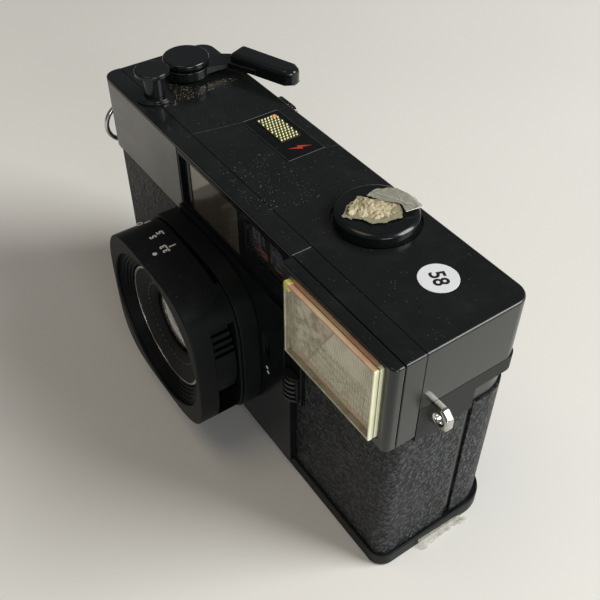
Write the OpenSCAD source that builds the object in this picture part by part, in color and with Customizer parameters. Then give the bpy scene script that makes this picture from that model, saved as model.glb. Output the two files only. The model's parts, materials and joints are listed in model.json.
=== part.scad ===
// Compact 35 mm film camera: half-frame gate, built-in flash, squared lens shroud and a hinged back.
// Millimetres. +Z is up, the lens looks along -Y, and the origin is the mouth of the tripod socket.

/* [Body] */
// Width over the top cover
body_w = 125; // [124.6:0.1:125.4]
// Height of the top plate above the base
body_h = 74.2; // [74:0.1:74.6]
// Wall of the moulded covers
cover_wall = 1.5; // [1.2:0.1:1.6]
// Thickness of the leather covering
leather_t = 0.6; // [0.5:0.1:0.6]
// Height of the base cover's rim
base_h = 4.5; // [4.4:0.1:4.5]

/* [Lens] */
// Height of the lens axis above the base
lens_z = 32.5; // [32:0.1:33]
// Half width of the squared shroud
shroud_half = 22.6; // [22.5:0.1:23]
// Squareness of the shroud: 2 is round, a large number is square
shroud_power = 3.5; // [3.2:0.1:4]
// Radius of the opening in the shroud's front
mouth_r = 21; // [20.6:0.1:21]
// Free radius of the shutter
aperture_r = 4.6; // [4:0.1:4.8]

/* [Film] */
// Radius of the chamber for the film cassette
cassette_r = 13.4; // [13:0.1:13.4]
// Radius of the take-up spool's core
spool_r = 6.8; // [6:0.1:7]
// Width of the half-frame gate
gate_w = 17; // [16:0.5:18]
// Height of the half-frame gate
gate_h = 24; // [23:0.5:24.5]

/* [Controls] */
// Radius of the rewind knob
knob_r = 9.2; // [8.8:0.1:9.4]
// Height of the rewind knob above the top plate
knob_h = 2.8; // [2.4:0.1:3.2]
// Radius of the shutter button's cap
button_r = 4.4; // [4:0.1:4.6]
// Height of the shutter button's cap above the top plate
button_h = 8; // [7:0.1:8.4]
// Radius of the wind lever's cap
cap_r = 6.1; // [5.8:0.1:6.3]

/* [Hidden] */
half_w = body_w / 2;
side_x = half_w - cover_wall;      // side of the chassis
skin_x = side_x + leather_t;       // outside of the side leather
front_y = -16;                     // plane of the nameplate
seam_y = -10.8;                    // joint between the front and top covers
rear_y = 16;                       // back of the top cover
wall_y = -14.6;                    // front wall of the chassis
skin_y = wall_y - leather_t;       // outside of the front leather
panel_y = -17;                     // plane of the smooth front panel
flash_y = -18.6;                   // front of the flash bezel
door_y = 20.3;                     // outside of the back
door_edge_y = 4.9;                 // where the back meets the right end
lap_y = 14.3;                      // step that the back's rims close over
film_y = 13.5;                     // film plane
roof_z = 57.5;                     // top of the chassis
name_z = 53.3;                     // lower edge of the nameplate
flash_z = 49.8;                    // lower edge of the flash housing
door_z0 = 4.8;
door_z1 = 53.9;
top_in = body_h - cover_wall;      // underside of the top plate

lens_x = -8.6;
shroud_y0 = -34;                   // front of the shroud
shroud_y1 = -21.8;                 // where the shroud meets its mount
mount_half = shroud_half + 0.6;
rewind = [27.2, 5.4];              // axis of the cassette and rewind knob
wind = [-49, 2.3];                 // axis of the wind lever and take-up spool
sprocket_at = [-29, 7.8];
tab_z = [16.6, 40.6];               // lower edges of the catch tabs on the back
button_at = [-43.4, -10.1];
counter_at = [-24, 8.4];
pivot = [3.5, 12];                  // pivots of the shutter blades, out and down from the axis
hinge_at = [-59.6, 18.2];
lug_out = 2.2;                      // from the cover to the middle of a lug's hole
ring_z = 62.45;                    // height of the strap ring's lug hole
part_x = [12, 41.2];                // splits between the sections of the chassis
cells_x = 49;
cells_y = [-6.6, 8.2];
cell_r = 7.1;
lid_axis = [15.6, 0.75];           // y and z of the battery lid's hinge
screws_at = [[-52, -8], [36, -8], [-52, 14], [30, 14]];
panel_x0 = -21.7;                  // left edge of the front panel and window strip
panel_x1 = 27.1;
flash_x0 = 26.9;
running = 0.05;                    // radial clearance of a shaft in its hole

$fn = 64;

// ---- drawing helpers ----

module box(a, b) {
    translate(a) cube(b - a);
}

// A drawing in x and z, from y0 to y1
module slab_y(y0, y1) {
    translate([0, y1, 0]) rotate([90, 0, 0]) linear_extrude(y1 - y0) children();
}

// A drawing in y and z, from x0 to x1
module slab_x(x0, x1) {
    translate([x0, 0, 0]) rotate([90, 0, 90]) linear_extrude(x1 - x0) children();
}

module slab_z(z0, z1) {
    translate([0, 0, z0]) linear_extrude(z1 - z0) children();
}

module rod_x(y, z, r, x0, x1) {
    translate([x0, y, z]) rotate([0, 90, 0]) cylinder(h = x1 - x0, r = r);
}

module rod_y(x, z, r, y0, y1) {
    translate([x, y1, z]) rotate([90, 0, 0]) cylinder(h = y1 - y0, r = r);
}

module rod_z(at, r, z0, z1) {
    translate([at[0], at[1], z0]) cylinder(h = z1 - z0, r = r);
}

module ring_y(r_in, r_out, y0, y1) {
    difference() {
        rod_y(lens_x, lens_z, r_out, y0, y1);
        rod_y(lens_x, lens_z, r_in, y0 - 1, y1 + 1);
    }
}

// A profile of [radius, y] points turned about the lens axis
module turned_y(points) {
    translate([lens_x, 0, lens_z]) rotate([-90, 0, 0]) rotate_extrude() polygon(points);
}

// A rectangle whose corner radii r run front left, front right, back right, back left
module plan(x0, y0, x1, y1, r) {
    inner = [[x0 + r[0], y0 + r[0]], [x1 - r[1], y0 + r[1]], [x1 - r[2], y1 - r[2]], [x0 + r[3], y1 - r[3]]];
    difference() {
        translate([x0, y0]) square([x1 - x0, y1 - y0]);
        for (i = [0:3]) if (r[i] > 0) translate(inner[i]) rotate(180 + i * 90) difference() {
            square(r[i] + 1);
            circle(r[i]);
        }
    }
}

function squared(a, half, power) = let (c = cos(a), s = sin(a))
    [half * sign(c) * pow(abs(c), 2 / power), half * sign(s) * pow(abs(s), 2 / power)];

// The shroud's rounded square, about the lens axis
module squared_disc(half) {
    translate([lens_x, lens_z]) polygon([for (i = [0:71]) squared(i * 5, half, shroud_power)]);
}

// ---- body ----

// The moulded body, made in three sections that are split at part_x
module body_shell() {
    right_r = 8;
    difference() {
        union() {
            slab_z(base_h, roof_z) plan(-side_x, wall_y, side_x, door_edge_y - 0.3, [2.4, 2.4, 0, 0]);
            slab_z(base_h, roof_z) intersection() {
                plan(-side_x, 0, side_x - 1.1, 17, [0, 0, right_r, 0]);
                plan(-side_x, 0, side_x, lap_y, [0, 0, 0, 2.6]);
            }
            slab_z(6.4, 52.4) plan(-57.4, 0, side_x - 1.1, 17, [0, 0, right_r, 0]);
            box([side_x - 2, seam_y + 0.1, 48], [half_w, door_edge_y - 0.3, 58.1]);
            slab_z(54.1, 58.1) plan(58.9, seam_y + 1, half_w, rear_y, [0, 0, 3, 0]);
            box([41, 0, base_h], [56.4, 16.1, 6.5]);
            box([41, 0, 52.3], [56.4, 16.1, 54]);
            for (z = [[6.4, 13.8], [45.2, 52.4]]) {
                rod_z(hinge_at, 2, z[0], z[1]);
                box([-side_x, lap_y - 0.5, z[0]], [-58.6, hinge_at[1], z[1]]);
            }
        }
        cassette_chamber();
        takeup_chamber();
        sprocket_pocket();
        shutter_pocket();
        for (y = cells_y) rod_z([cells_x, y], cell_r + 0.15, 0, 53.4);
        box([57.4, 3.5, 8], [side_x, 12.5, roof_z + 1]);
        for (z = tab_z) box([57.4, 3.5, z - 0.3], [side_x, 18, z + 3.5]);
        box([58.4, -7.6, 52.5], [half_w + 1, -5.5, 58.2]);
        rod_z([0, 0], 4.6, base_h - 1, 7);
        rod_z(hinge_at, 0.8 + running, 0, 60);
        film_channel();
    }
}

module shell_section(x0, x1) {
    color("#26282a") intersection() {
        body_shell();
        box([x0, -30, 0], [x1, 30, 70]);
    }
}

module body_chassis() {
    shell_section(-70, part_x[0]);
}

module cassette_holder() {
    shell_section(part_x[0], part_x[1]);
}

module battery_holder() {
    shell_section(part_x[1], 70);
}

// Way for the film, with a land above and below it that the pressure plate rests on
module film_channel() {
    box([-38, film_y - 0.3, 15.2], [14.5, 18, 49.7]);
    box([-38, film_y + 0.3, 13], [14.5, 18, 51.6]);
}

module cassette_chamber() {
    rod_z(rewind, cassette_r, 8, 54.6);
    box([rewind[0] - cassette_r, rewind[1], 8], [rewind[0] + cassette_r, 20, 52.3]);
    rod_z(rewind, 3.4 + running, 50, 60);
}

module takeup_chamber() {
    rod_z(wind, 11.2, 8, 54.6);
    box([-56.2, wind[1] + 2, 8], [wind[0] + 11.2, 20, 52.3]);
    rod_z(wind, 2.5 + running, 3, 60);
}

module sprocket_pocket() {
    rod_z(sprocket_at, 6.8, 12, 52.3);
    box([sprocket_at[0] - 5, sprocket_at[1], 12], [sprocket_at[0] + 5, 18, 52.3]);
    rod_z(sprocket_at, 1.5 + running, 8, 55);
}

module shutter_pocket() {
    rod_y(lens_x, lens_z, 18.6, wall_y - 5, -3);
    box([lens_x - gate_w / 2 - 1.5, -4, lens_z - gate_h / 2 - 1.5],
        [lens_x + gate_w / 2 + 1.5, 11.5, lens_z + gate_h / 2 + 1.5]);
    box([lens_x - gate_w / 2, 11, lens_z - gate_h / 2], [lens_x + gate_w / 2, 15, lens_z + gate_h / 2]);
}

// Covering on the front and both ends, in a left and a right piece
module body_leather() {
    color("#17181a") difference() {
        slab_z(base_h + 0.1, name_z - 0.1) plan(-skin_x, skin_y, skin_x, 13.6, [3, 3, 0, 0]);
        slab_z(0, 60) plan(-side_x, wall_y, side_x, 30, [2.4, 2.4, 0, 0]);
        box([panel_x0 - 0.1, -20, 0], [panel_x1 + 0.1, 20, 60]);
        box([panel_x1 - 1, -20, 29.7], [30.7, 0, 60]);
        box([0, -20, flash_z - 0.1], [70, 20, 60]);
        box([60, seam_y, 47.9], [70, 20, 60]);
        box([50, door_edge_y - 0.6, 0], [70, 20, 60]);
        rod_y(lens_x, lens_z, 18.6, -20, 0);
    }
}

module front_panel() {
    color("#2b2e30") difference() {
        union() {
            box([panel_x0, panel_y, base_h + 0.1], [panel_x1, wall_y, 57.2]);
            box([panel_x1 - 1, -16.2, 29.8], [30.6, wall_y, flash_z - 0.1]);
        }
        rod_y(lens_x, lens_z, 18.6, -20, 0);
        box([flash_x0 - 0.05, -20, flash_z - 0.05], [28, 0, 60]);
        box([24.9, -20, 30.5], [29.9, -15.6, 46.9]);
        box([16.4, -20, 36.4], [18.9, -16.2, 43.2]);
    }
}

module base_cover() {
    color("#202224") difference() {
        slab_z(0, base_h) plan(-half_w + 0.1, -15.8, half_w - 0.1, door_y - 0.2, [4, 4, 8, 4]);
        difference() {
            slab_z(1.5, 6) plan(-half_w + 2, -14, half_w - 2, door_y - 2, [2.5, 2.5, 6, 2.5]);
            for (p = screws_at) rod_z(p, 2.4, 0, base_h);
        }
        rod_z([0, 0], 4.4, -1, 2);
        rod_z(sprocket_at, 1.9 + running, -1, 3);
        box([41.3, -13.9, -1], [57.3, 16.3, 3]);
        rod_x(lid_axis[0], lid_axis[1], 0.45 + running, 40.4, 58.2);
        for (p = screws_at) rod_z(p, 1.6, -1, 0.8);
        for (p = screws_at) rod_z(p, 0.8, 0, 6);
    }
}

// Steel bush for a 1/4 inch tripod screw
module tripod_bush() {
    color("silver") difference() {
        union() {
            rod_z([0, 0], 4.4, 0, 6.8);
            rod_z([0, 0], 6, 1.5, 2.7);
        }
        rod_z([0, 0], 2.6, -1, 6);
    }
}

module battery_lid() {
    color("#202224") union() {
        box([41.5, -13.7, 0.1], [57.1, lid_axis[0], 1.4]);
        rod_x(lid_axis[0], lid_axis[1], 0.65, 41.5, 57.1);
        rod_x(lid_axis[0], lid_axis[1], 0.45, 40.5, 58.1);
        box([43.5, -11.5, 1.4], [54.5, 12.8, 1.9]);
    }
}

// Two AA cells standing in the right end
module battery_cells() {
    color("#8f9296") for (y = cells_y) {
        up = y < 0;
        rod_z([cells_x, y], cell_r, up ? 2.1 : 3.1, up ? 51.3 : 52.3);
        rod_z([cells_x, y], 2.7, up ? 51.3 : 2.1, up ? 52.3 : 3.1);
    }
}

module case_screws() {
    color("silver") for (p = screws_at) difference() {
        union() {
            rod_z(p, 1.5, 0.15, 0.8);
            rod_z(p, 0.8, 0.8, 4.4);
        }
        box([p[0] - 1.1, p[1] - 0.2, 0], [p[0] + 1.1, p[1] + 0.2, 0.55]);
        box([p[0] - 0.2, p[1] - 1.1, 0], [p[0] + 0.2, p[1] + 1.1, 0.55]);
    }
}

// ---- covers ----

module lamp_opening(grow) {
    translate([-19.2 - grow, 4.8 - grow]) square([11.2 + 2 * grow, 5.6 + 2 * grow]);
}

module top_cover() {
    wall = cover_wall;
    color("#1c1e20") difference() {
        slab_z(name_z, body_h) plan(-half_w, seam_y, half_w, rear_y, [0, 0, 4, 4]);
        slab_z(name_z - 1, top_in) plan(-side_x, seam_y - 1, side_x, rear_y - wall, [0, 0, 2.5, 2.5]);
        box([-side_x, lap_y, 50], [70, 20, 54.2]);
        box([58.8, seam_y - 1, 50], [70, 20, 58.2]);
        rod_z(rewind, knob_r + 0.7, body_h - 0.6, body_h + 1);
        rod_z(rewind, 3.4 + running, 70, 80);
        rod_z(wind, 2.5 + running, 70, 80);
        rod_z(button_at, 3.9, 70, 80);
        slab_z(body_h - 0.4, body_h + 1) plan(-20.8, 1.9, -0.6, 12.1, [0.8, 0.8, 0.8, 0.8]);
        slab_z(70, 80) lamp_opening(0);
        box([-26.6, 14, 66.2], [-21.4, 17, 70.6]);
        box([-10.5, 14, 60.8], [-1.5, 17, 67.8]);
        box([-70, -12, ring_z - 2.7], [-60.9, -9.85, ring_z + 3]);
    }
}

module front_cover() {
    color("#1c1e20") difference() {
        slab_z(name_z, body_h) plan(-half_w, front_y, flash_x0 - 0.1, seam_y - 0.05, [3.5, 0, 0, 0]);
        slab_z(name_z - 1, top_in) plan(-side_x, wall_y, 40, seam_y + 1, [2, 0, 0, 0]);
        box([panel_x0, -20, 50], [40, wall_y + 0.1, 73.4]);
        box([-59, -20, name_z + 0.4], [panel_x0 - 0.2, front_y + 0.5, 73.4]);
        rod_z(button_at, 3.9, 70, 80);
        box([-70, -11.95, ring_z - 2.7], [-60.9, -9, ring_z + 3]);
    }
}

// Bare plate let into the front cover
module nameplate() {
    color("#3a3d40") box([-59, front_y - 0.05, name_z + 0.4], [panel_x0 - 0.2, front_y + 0.5, 73.4]);
}

module window_plan(inset) {
    plan(-15.8 + inset, 59 + inset, 5.6 - inset, 72.2 - inset, [0.4, 0.4, 0.4, 0.4]);
}

module window_frame() {
    color("#232527") difference() {
        box([panel_x0 + 0.1, front_y, 57.3], [flash_x0 - 0.1, wall_y - 0.05, 73.3]);
        slab_y(-20, 0) window_plan(0);
        slab_y(-20, 0) plan(8.9, 63, 23.8, 72, [1.4, 1.4, 1.4, 1.4]);
        box([-21, -20, 57.9], [-16.9, -15, 72]);
    }
}

module finder_window() {
    color("#9aa4a8") slab_y(-15.8, -14.9) window_plan(0);
}

module range_window() {
    color("#5a3038") slab_y(-15.5, -14.7) plan(8.9, 63, 23.8, 72, [1.4, 1.4, 1.4, 1.4]);
}

// Black tunnel from the finder window to the eyepiece
module finder_tube() {
    color("#141516") difference() {
        union() {
            box([-16.8, wall_y + 0.1, roof_z], [6.6, -3, 72.6]);
            box([-11.5, -3, roof_z], [-0.5, 14.4, 69]);
        }
        box([-15.8, -20, 58.6], [5.6, -4, 71.8]);
        box([-10.5, -5, 60.8], [-1.5, 20, 67.8]);
    }
}

module finder_lenses() {
    color("#9aa4a8") {
        box([-15.8, -12, 58.6], [5.6, -9.6, 71.8]);
        box([-10.5, 10, 60.8], [-1.5, 12.4, 67.8]);
    }
}

module eyepiece_frame() {
    color("#191a1b") difference() {
        union() {
            slab_y(rear_y, 18.4) plan(-12.6, 58.8, 0.6, 69.8, [2, 2, 2, 2]);
            box([-10.4, 14.6, 60.9], [-1.6, rear_y, 67.7]);
        }
        box([-9.4, 10, 61.9], [-2.6, 20, 66.7]);
    }
}

// Magnifier over the frame counter, at the back of the top cover
module counter_window() {
    color("#c9cdd0") union() {
        slab_y(rear_y, 17.6) plan(-28.2, 64.4, -19.8, 73.3, [1.6, 1.6, 1.6, 1.6]);
        box([-26.5, 15.2, 66.3], [-21.5, rear_y, 70.5]);
    }
}

module counter_dial() {
    color("#d8d8d2") difference() {
        union() {
            rod_z(counter_at, 6, 65.8, 71.2);
            rod_z(counter_at, 1.6, roof_z + 0.1, 65.8);
            for (a = [0:15:345])
                translate([counter_at[0], counter_at[1], 60]) rotate([0, 0, a])
                    translate([5, 0, 0]) cube([1, 0.6, 2], center = true);
            rod_z(counter_at, 5, 59, 61);
        }
        rod_z(counter_at, 5, 67, 72);
    }
}

module lamp_plate() {
    color("#232527") difference() {
        slab_z(body_h - 0.4, body_h + 0.1) plan(-20.8, 1.9, -0.6, 12.1, [0.8, 0.8, 0.8, 0.8]);
        slab_z(70, 80) lamp_opening(0);
    }
}

module lamp_window() {
    color("#d9d27a") slab_z(72.5, body_h + 0.3) lamp_opening(-0.05);
}

// ---- flash ----

module flash_bezel() {
    color("#1f2123") difference() {
        slab_z(flash_z, body_h) plan(flash_x0, flash_y, half_w, -15.8, [0.8, 1.5, 0, 0]);
        box([flash_x0 + 1.3, flash_y + 1.3, flash_z + 1.3], [side_x + 0.1, -10, 72.8]);
        box([30.5, -20, 52.4], [59.7, -10, 72.8]);
    }
}

module flash_housing() {
    color("#1f2123") difference() {
        slab_z(flash_z, body_h) plan(flash_x0, -15.75, half_w, seam_y - 0.05, [0, 0, 0, 0]);
        box([flash_x0 + 1.3, -20, flash_z + 1.3], [side_x + 0.1, -10, 72.8]);
        box([flash_x0 - 1, wall_y - 0.05, flash_z - 1], [side_x + 0.1, -10, roof_z + 0.1]);
    }
}

// Clear ribbed cap in front of the reflector
module flash_window() {
    color("#dfe3c0") difference() {
        box([30.6, -20.6, 52.5], [59.6, -17.2, 72.7]);
        box([31.7, -19.5, 53.7], [58.5, -10, 71.5]);
    }
}

// Outline of the reflector in y and z, thinned by t
module reflector_plan(t) {
    polygon([[-19.3 - t, 71.3 - t], [-19.3 - t, 53.9 + t], [-15, 58 + t], [-9.5 - t, 59.4 + t],
        [-9.5 - t, 65.8 - t], [-15, 67.2 - t]]);
}

module flash_reflector() {
    color("silver") difference() {
        slab_x(31.9, 58.3) reflector_plan(0);
        slab_x(32.3, 57.9) reflector_plan(0.4);
    }
}

module flash_tube() {
    color("#cfd3d6") rod_x(-11.8, 62.6, 1.4, 33, 57.2);
}

module flash_capacitor() {
    color("#30343a") rod_x(-2, 66.2, 5.4, 36, 60);
}

module circuit_board() {
    color("#3c5a40") union() {
        box([34, 8.4, 59.8], [58, 9.6, 71.8]);
        box([34, 8.4, roof_z], [38, 9.6, 59.8]);
        box([40, 6.9, 62], [46, 8.4, 70]);
        for (x = [49, 52, 55]) rod_z([x, 7.4], 1, 62, 68);
        for (x = [49, 52, 55]) box([x - 0.4, 7.6, 64], [x + 0.4, 8.4, 66]);
    }
}

module flash_switch() {
    color("#222426") intersection() {
        union() {
            rod_z([27.4, -15.6], 2.2, 30.8, 38.8);
            for (i = [0:4]) rod_z([27.4, -15.6], 2.9, 31.4 + i * 1.6, 32.1 + i * 1.6);
            box([25.1, -16.9, 30.8], [29.7, -15.65, 38.8]);
        }
        box([25.1, -19, 30.8], [29.7, -15.65, 38.8]);
    }
}

// ---- shutter button and wind lever ----

module button_collar() {
    color("#2a2c2e") difference() {
        union() {
            rod_z(button_at, 4.8, body_h, body_h + 0.7);
            rod_z(button_at, 4.2, body_h, body_h + 1.1);
            rod_z(button_at, 3.9, 67, body_h);
        }
        rod_z(button_at, 2.6 + running, 60, 80);
    }
}

module release_button() {
    cap_z = body_h + button_h;
    color("#1b1c1d") union() {
        rod_z(button_at, button_r, cap_z - 1.2, cap_z);
        rod_z(button_at, 2.6, 64, cap_z - 1);
        rod_z(button_at, 3.4, 66, 66.95);
    }
}

// Points of a coil spring, swept as a six-sided wire
module coil(r, wire, z0, z1, turns) {
    steps = 12 * turns;
    sides = 6;
    points = [for (i = [0:steps]) for (k = [0:sides - 1]) let (
        a = i * 30,
        b = k * 360 / sides,
        q = r + wire * cos(b))
        [q * cos(a), q * sin(a), z0 + wire + (z1 - z0 - 2 * wire) * i / steps + wire * sin(b)]];
    quads = [for (i = [0:steps - 1]) for (k = [0:sides - 1])
        [i * sides + k, i * sides + (k + 1) % sides, (i + 1) * sides + (k + 1) % sides, (i + 1) * sides + k]];
    ends = [[for (k = [0:sides - 1]) sides - 1 - k], [for (k = [0:sides - 1]) steps * sides + k]];
    polyhedron(points = points, faces = concat(quads, ends));
}

module button_spring() {
    color("silver") translate([button_at[0], button_at[1], 0]) coil(2.2, 0.3, roof_z + 0.05, 63.95, 4);
}

module lever_arm() {
    polygon([[-54.4, 4], [-44, -0.6], [-43.6, 11.6], [-36, 15.4], [-38.4, 20.2], [-46, 17], [-52.6, 8]]);
}

module advance_lever() {
    color("#1b1c1d") union() {
        rod_z(wind, 6.2, 75.2, 77.6);
        rod_z(wind, 4.4, 77.6, 78.2);
        rod_z(wind, cap_r, 78.2, 79.7);
        slab_z(75.6, 77.2) lever_arm();
        rod_z(wind, 2.5, roof_z + 0.1, 75.2);
    }
}

module lever_tip() {
    color("#141516") difference() {
        slab_z(75.3, 79.3) polygon([[-44.4, 12.4], [-46.8, 18.4], [-30.2, 24.3], [-27.6, 23.8], [-26.4, 21.4],
            [-27.8, 18.9]]);
        slab_z(75.6, 77.2) lever_arm();
    }
}

// ---- film transport ----

module takeup_spool() {
    color("#26282a") difference() {
        union() {
            rod_z(wind, spool_r, 8.6, 54.2);
            rod_z(wind, 10, 8.6, 9.6);
            rod_z(wind, 10, 53.2, 54.2);
            rod_z(wind, 2.5, 5, roof_z - 0.1);
        }
        for (a = [0, 120, 240]) translate([wind[0], wind[1], 0]) rotate([0, 0, a])
            box([3.6, -0.6, 16], [8, 0.6, 48]);
    }
}

module sprocket() {
    color("silver") union() {
        rod_z(sprocket_at, 3.2, 12.3, 52);
        rod_z(sprocket_at, 1.5, 9, 54.5);
        for (z = [lens_z - 15.4, lens_z + 14.4]) {
            rod_z(sprocket_at, 5.5, z - 0.6, z + 1.6);
            for (a = [0:45:315]) translate([sprocket_at[0], sprocket_at[1], z]) rotate([0, 0, a])
                box([5, -0.7, 0], [6.4, 0.7, 1]);
        }
    }
}

module rewind_knob() {
    color("#1b1c1d") union() {
        rod_z(rewind, knob_r, body_h - 0.4, body_h + knob_h - 0.7);
        translate([rewind[0], rewind[1], body_h + knob_h - 0.7])
            cylinder(h = 0.7, r1 = knob_r, r2 = knob_r - 0.7);
    }
}

// Shaft under the knob, ending in the fork that turns the film
module rewind_shaft() {
    color("silver") union() {
        rod_z(rewind, 2.2, 54, body_h - 0.4);
        box([rewind[0] - 2.1, rewind[1] - 0.6, 50.5], [rewind[0] + 2.1, rewind[1] + 0.6, 54]);
    }
}

// Sleeve and plate that the pulled rewind knob lifts to let go of the back
module latch_plate() {
    color("silver") difference() {
        union() {
            rod_z(rewind, 3.4, 55, body_h - 0.7);
            rod_z(rewind, 5.2, roof_z + 0.1, 58.6);
            box([rewind[0], rewind[1] - 0.9, roof_z + 0.1], [58.8, rewind[1] + 0.9, 58.6]);
            box([58, 4.5, 12], [58.8, 6.3, 58.6]);
            for (z = tab_z) box([58, 6.3, z + 3.4], [58.8, 10.4, z + 6.4]);
        }
        rod_z(rewind, 2.2 + running, 40, 80);
    }
}

module rewind_release() {
    color("silver") union() {
        rod_z(sprocket_at, 1.9, 0.3, 2.9);
        rod_z(sprocket_at, 2.6, 1.55, 2.35);
    }
}

// ---- back ----

module door_plan() {
    plan(-57.3, door_edge_y, side_x, door_y - leather_t, [0, 0, 9.4, 1]);
}

module back_door() {
    color("#202224") difference() {
        union() {
            slab_z(door_z0, door_z1) difference() {
                door_plan();
                plan(-70, -5, side_x - 0.9, door_y - leather_t - cover_wall, [0, 0, 8.3, 0]);
            }
            for (z = [door_z0, door_z1 - 1.2]) slab_z(z, z + 1.2) difference() {
                door_plan();
                translate([-70, -5]) square([110.4, lap_y + 5.2]);
                translate([-70, -5]) square([140, 16.3 + 5]);
            }
            for (z = [door_z0, door_z1 - 1.2]) box([-57.3, lap_y + 0.2, z], [40.4, 18.5, z + 1.2]);
            rod_z(hinge_at, 2, 14, 44.9);
            box([hinge_at[0], hinge_at[1] + 0.2, 14], [-56.5, door_y - leather_t, 44.9]);
            for (z = tab_z) box([57.7, 6.7, z], [60.4, 8.7, z + 3.2]);
            for (x = [-22, 4.8]) rod_y(x, lens_z, 1, 14.2, 19);
        }
        rod_z(hinge_at, 0.8 + running, 0, 60);
    }
}

module door_leather() {
    color("#17181a") difference() {
        slab_z(door_z0 + 0.6, 47) difference() {
            plan(-57.3, door_edge_y, skin_x, door_y, [0, 0, 10, 1]);
            plan(-70, -5, side_x, door_y - leather_t, [0, 0, 9.4, 0]);
        }
        box([50, 0, 0], [70, door_edge_y + 1.5, 60]);
        box([-70, 0, 0], [-55, 30, 60]);
    }
}

module hinge_pin() {
    color("silver") rod_z(hinge_at, 0.8, 6.4, 52.4);
}

// Plate that holds the film flat, with the bowed leaf spring riveted to its back
module pressure_plate() {
    color("#303336") difference() {
        union() {
            slab_z(30, 35) polygon([[-19.4, 17.1], [-15.6, 17.1], [-10, film_y + 1.1], [-7.2, film_y + 1.1],
                [-1.6, 17.1], [2.2, 17.1], [2.2, 17.4], [-1.8, 17.4], [-7.4, film_y + 1.4],
                [-9.8, film_y + 1.4], [-15.4, 17.4], [-19.4, 17.4]]);
            box([-23.6, film_y + 0.3, 14], [11.6, film_y + 1.1, 50.8]);
            for (x = [-22, 4.8]) rod_y(x, lens_z, 1.9, film_y + 1.1, 17.2);
        }
        for (x = [-22, 4.8]) rod_y(x, lens_z, 1 + running, 10, 20);
    }
}

// ---- straps ----

// Eye plate on the right end, from its root at x0; z is the middle of its hole
module lug(x0, z, y0, y1) {
    x1 = half_w + 4.7;
    slab_y(y0, y1) difference() {
        polygon([[x0, z - 2.7], [65.2, z - 2.7], [x1, z - 1.5], [x1, z + 1.3], [65.2, z + 3], [x0, z + 3]]);
        translate([half_w + lug_out, z]) circle(1.15);
    }
}

module strap_lugs() {
    color("silver") {
        lug(58.4, 55.2, -7.6, -5.5);
        mirror([1, 0, 0]) lug(59, ring_z, -11.95, -9.85);
    }
}

module strap_ring() {
    ring_r = 5.65;
    color("silver") translate([-half_w - lug_out, -10.9, ring_z - ring_r]) rotate([0, 90, 0])
        rotate_extrude() translate([ring_r, 0]) circle(r = 0.7, $fn = 24);
}

// ---- lens ----

module lens_mount() {
    color("#222426") difference() {
        union() {
            slab_y(shroud_y1, panel_y) squared_disc(mount_half);
            for (step = [[-16.06, 60], [skin_y, name_z - 0.1]])
                slab_y(panel_y, step[0]) intersection() {
                    squared_disc(mount_half);
                    translate([-50, 0]) square([50 + panel_x0 - 0.05, step[1]]);
                }
            rod_y(lens_x, lens_z, 18.5, panel_y, -13.4);
            rod_y(lens_x, lens_z, 16.9, -29.3, shroud_y1);
        }
        rod_y(lens_x, lens_z, 15.4, -40, -17);
        rod_y(lens_x, lens_z, 17.4, -17.05, 0);
    }
}

module lens_shroud() {
    color("#1e2022") difference() {
        slab_y(shroud_y0, shroud_y1) squared_disc(shroud_half);
        rod_y(lens_x, lens_z, mouth_r, -40, -30);
        rod_y(lens_x, lens_z, 21.7, -33.2, -20);
        box([lens_x + 12, -28.8, 15.6], [lens_x + 30, -22.6, 47]);
        slab_z(lens_z + 15, lens_z + 27) polygon([[-24, -21], [5.4, -21], [5.4, -22.9], [-24, -22.1]]);
    }
}

// Stepped light trap behind the mouth
module baffle_ring() {
    steps = 5;
    color("#101112") turned_y(concat(
        [[21.65, -30.9], [21.65, -33.15]],
        [for (i = [0:steps - 1]) for (k = [0, 1]) [20.6 - i * 0.9, -33.15 + (i + k) * 0.45]]));
}

module trim_ring() {
    color("silver") ring_y(15.9, 16.6, -31.1, -29.8);
}

module name_ring() {
    color("#141516") turned_y([[15.9, -30.9], [15.9, -29.8], [13.3, -29.8], [13.3, -27.5], [9.2, -27.5],
        [9.2, -28.2], [12.7, -30.1]]);
}

module focus_ring() {
    color("#202224") difference() {
        union() {
            rod_y(lens_x, lens_z, 20, -28.6, -22.8);
            slab_y(-28.6, -22.8) intersection() {
                translate([lens_x, lens_z]) circle(21.6);
                translate([lens_x, lens_z]) polygon([[0, 0], [30, -30 * tan(24)], [30, 30 * tan(42)]]);
            }
        }
        rod_y(lens_x, lens_z, 16.9 + running, -30, -20);
        for (a = [14:5:39]) translate([lens_x, 0, lens_z]) rotate([0, -a, 0])
            box([20.5, -29, -0.45], [23, -20, 0.45]);
    }
}

module lens_barrel() {
    color("#26282a") difference() {
        rod_y(lens_x, lens_z, 15.4 - running, -29.8, -17.5);
        rod_y(lens_x, lens_z, 13.3, -35, -27.5);
        rod_y(lens_x, lens_z, 9.6, -35, -25.2);
        rod_y(lens_x, lens_z, 8.2, -35, -10);
    }
}

// A glass with spherical faces, radius r, centre faces at y0 and y1 and edges at e0 and e1
module glass_y(r, y0, y1, e0, e1) {
    steps = 12;
    function face(c, e, t) = c + (e - c) * t * t;
    turned_y(concat(
        [for (i = [0:steps]) [r * i / steps, face(y0, e0, i / steps)]],
        [for (i = [steps:-1:0]) [r * i / steps, face(y1, e1, i / steps)]]));
}

module front_element() {
    color("#3a4650") glass_y(9.6, -29.2, -25.8, -27.3, -25.2);
}

module rear_element() {
    color("#3a4650") glass_y(7, -7.4, -3.6, -6.6, -4.4);
}

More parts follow.
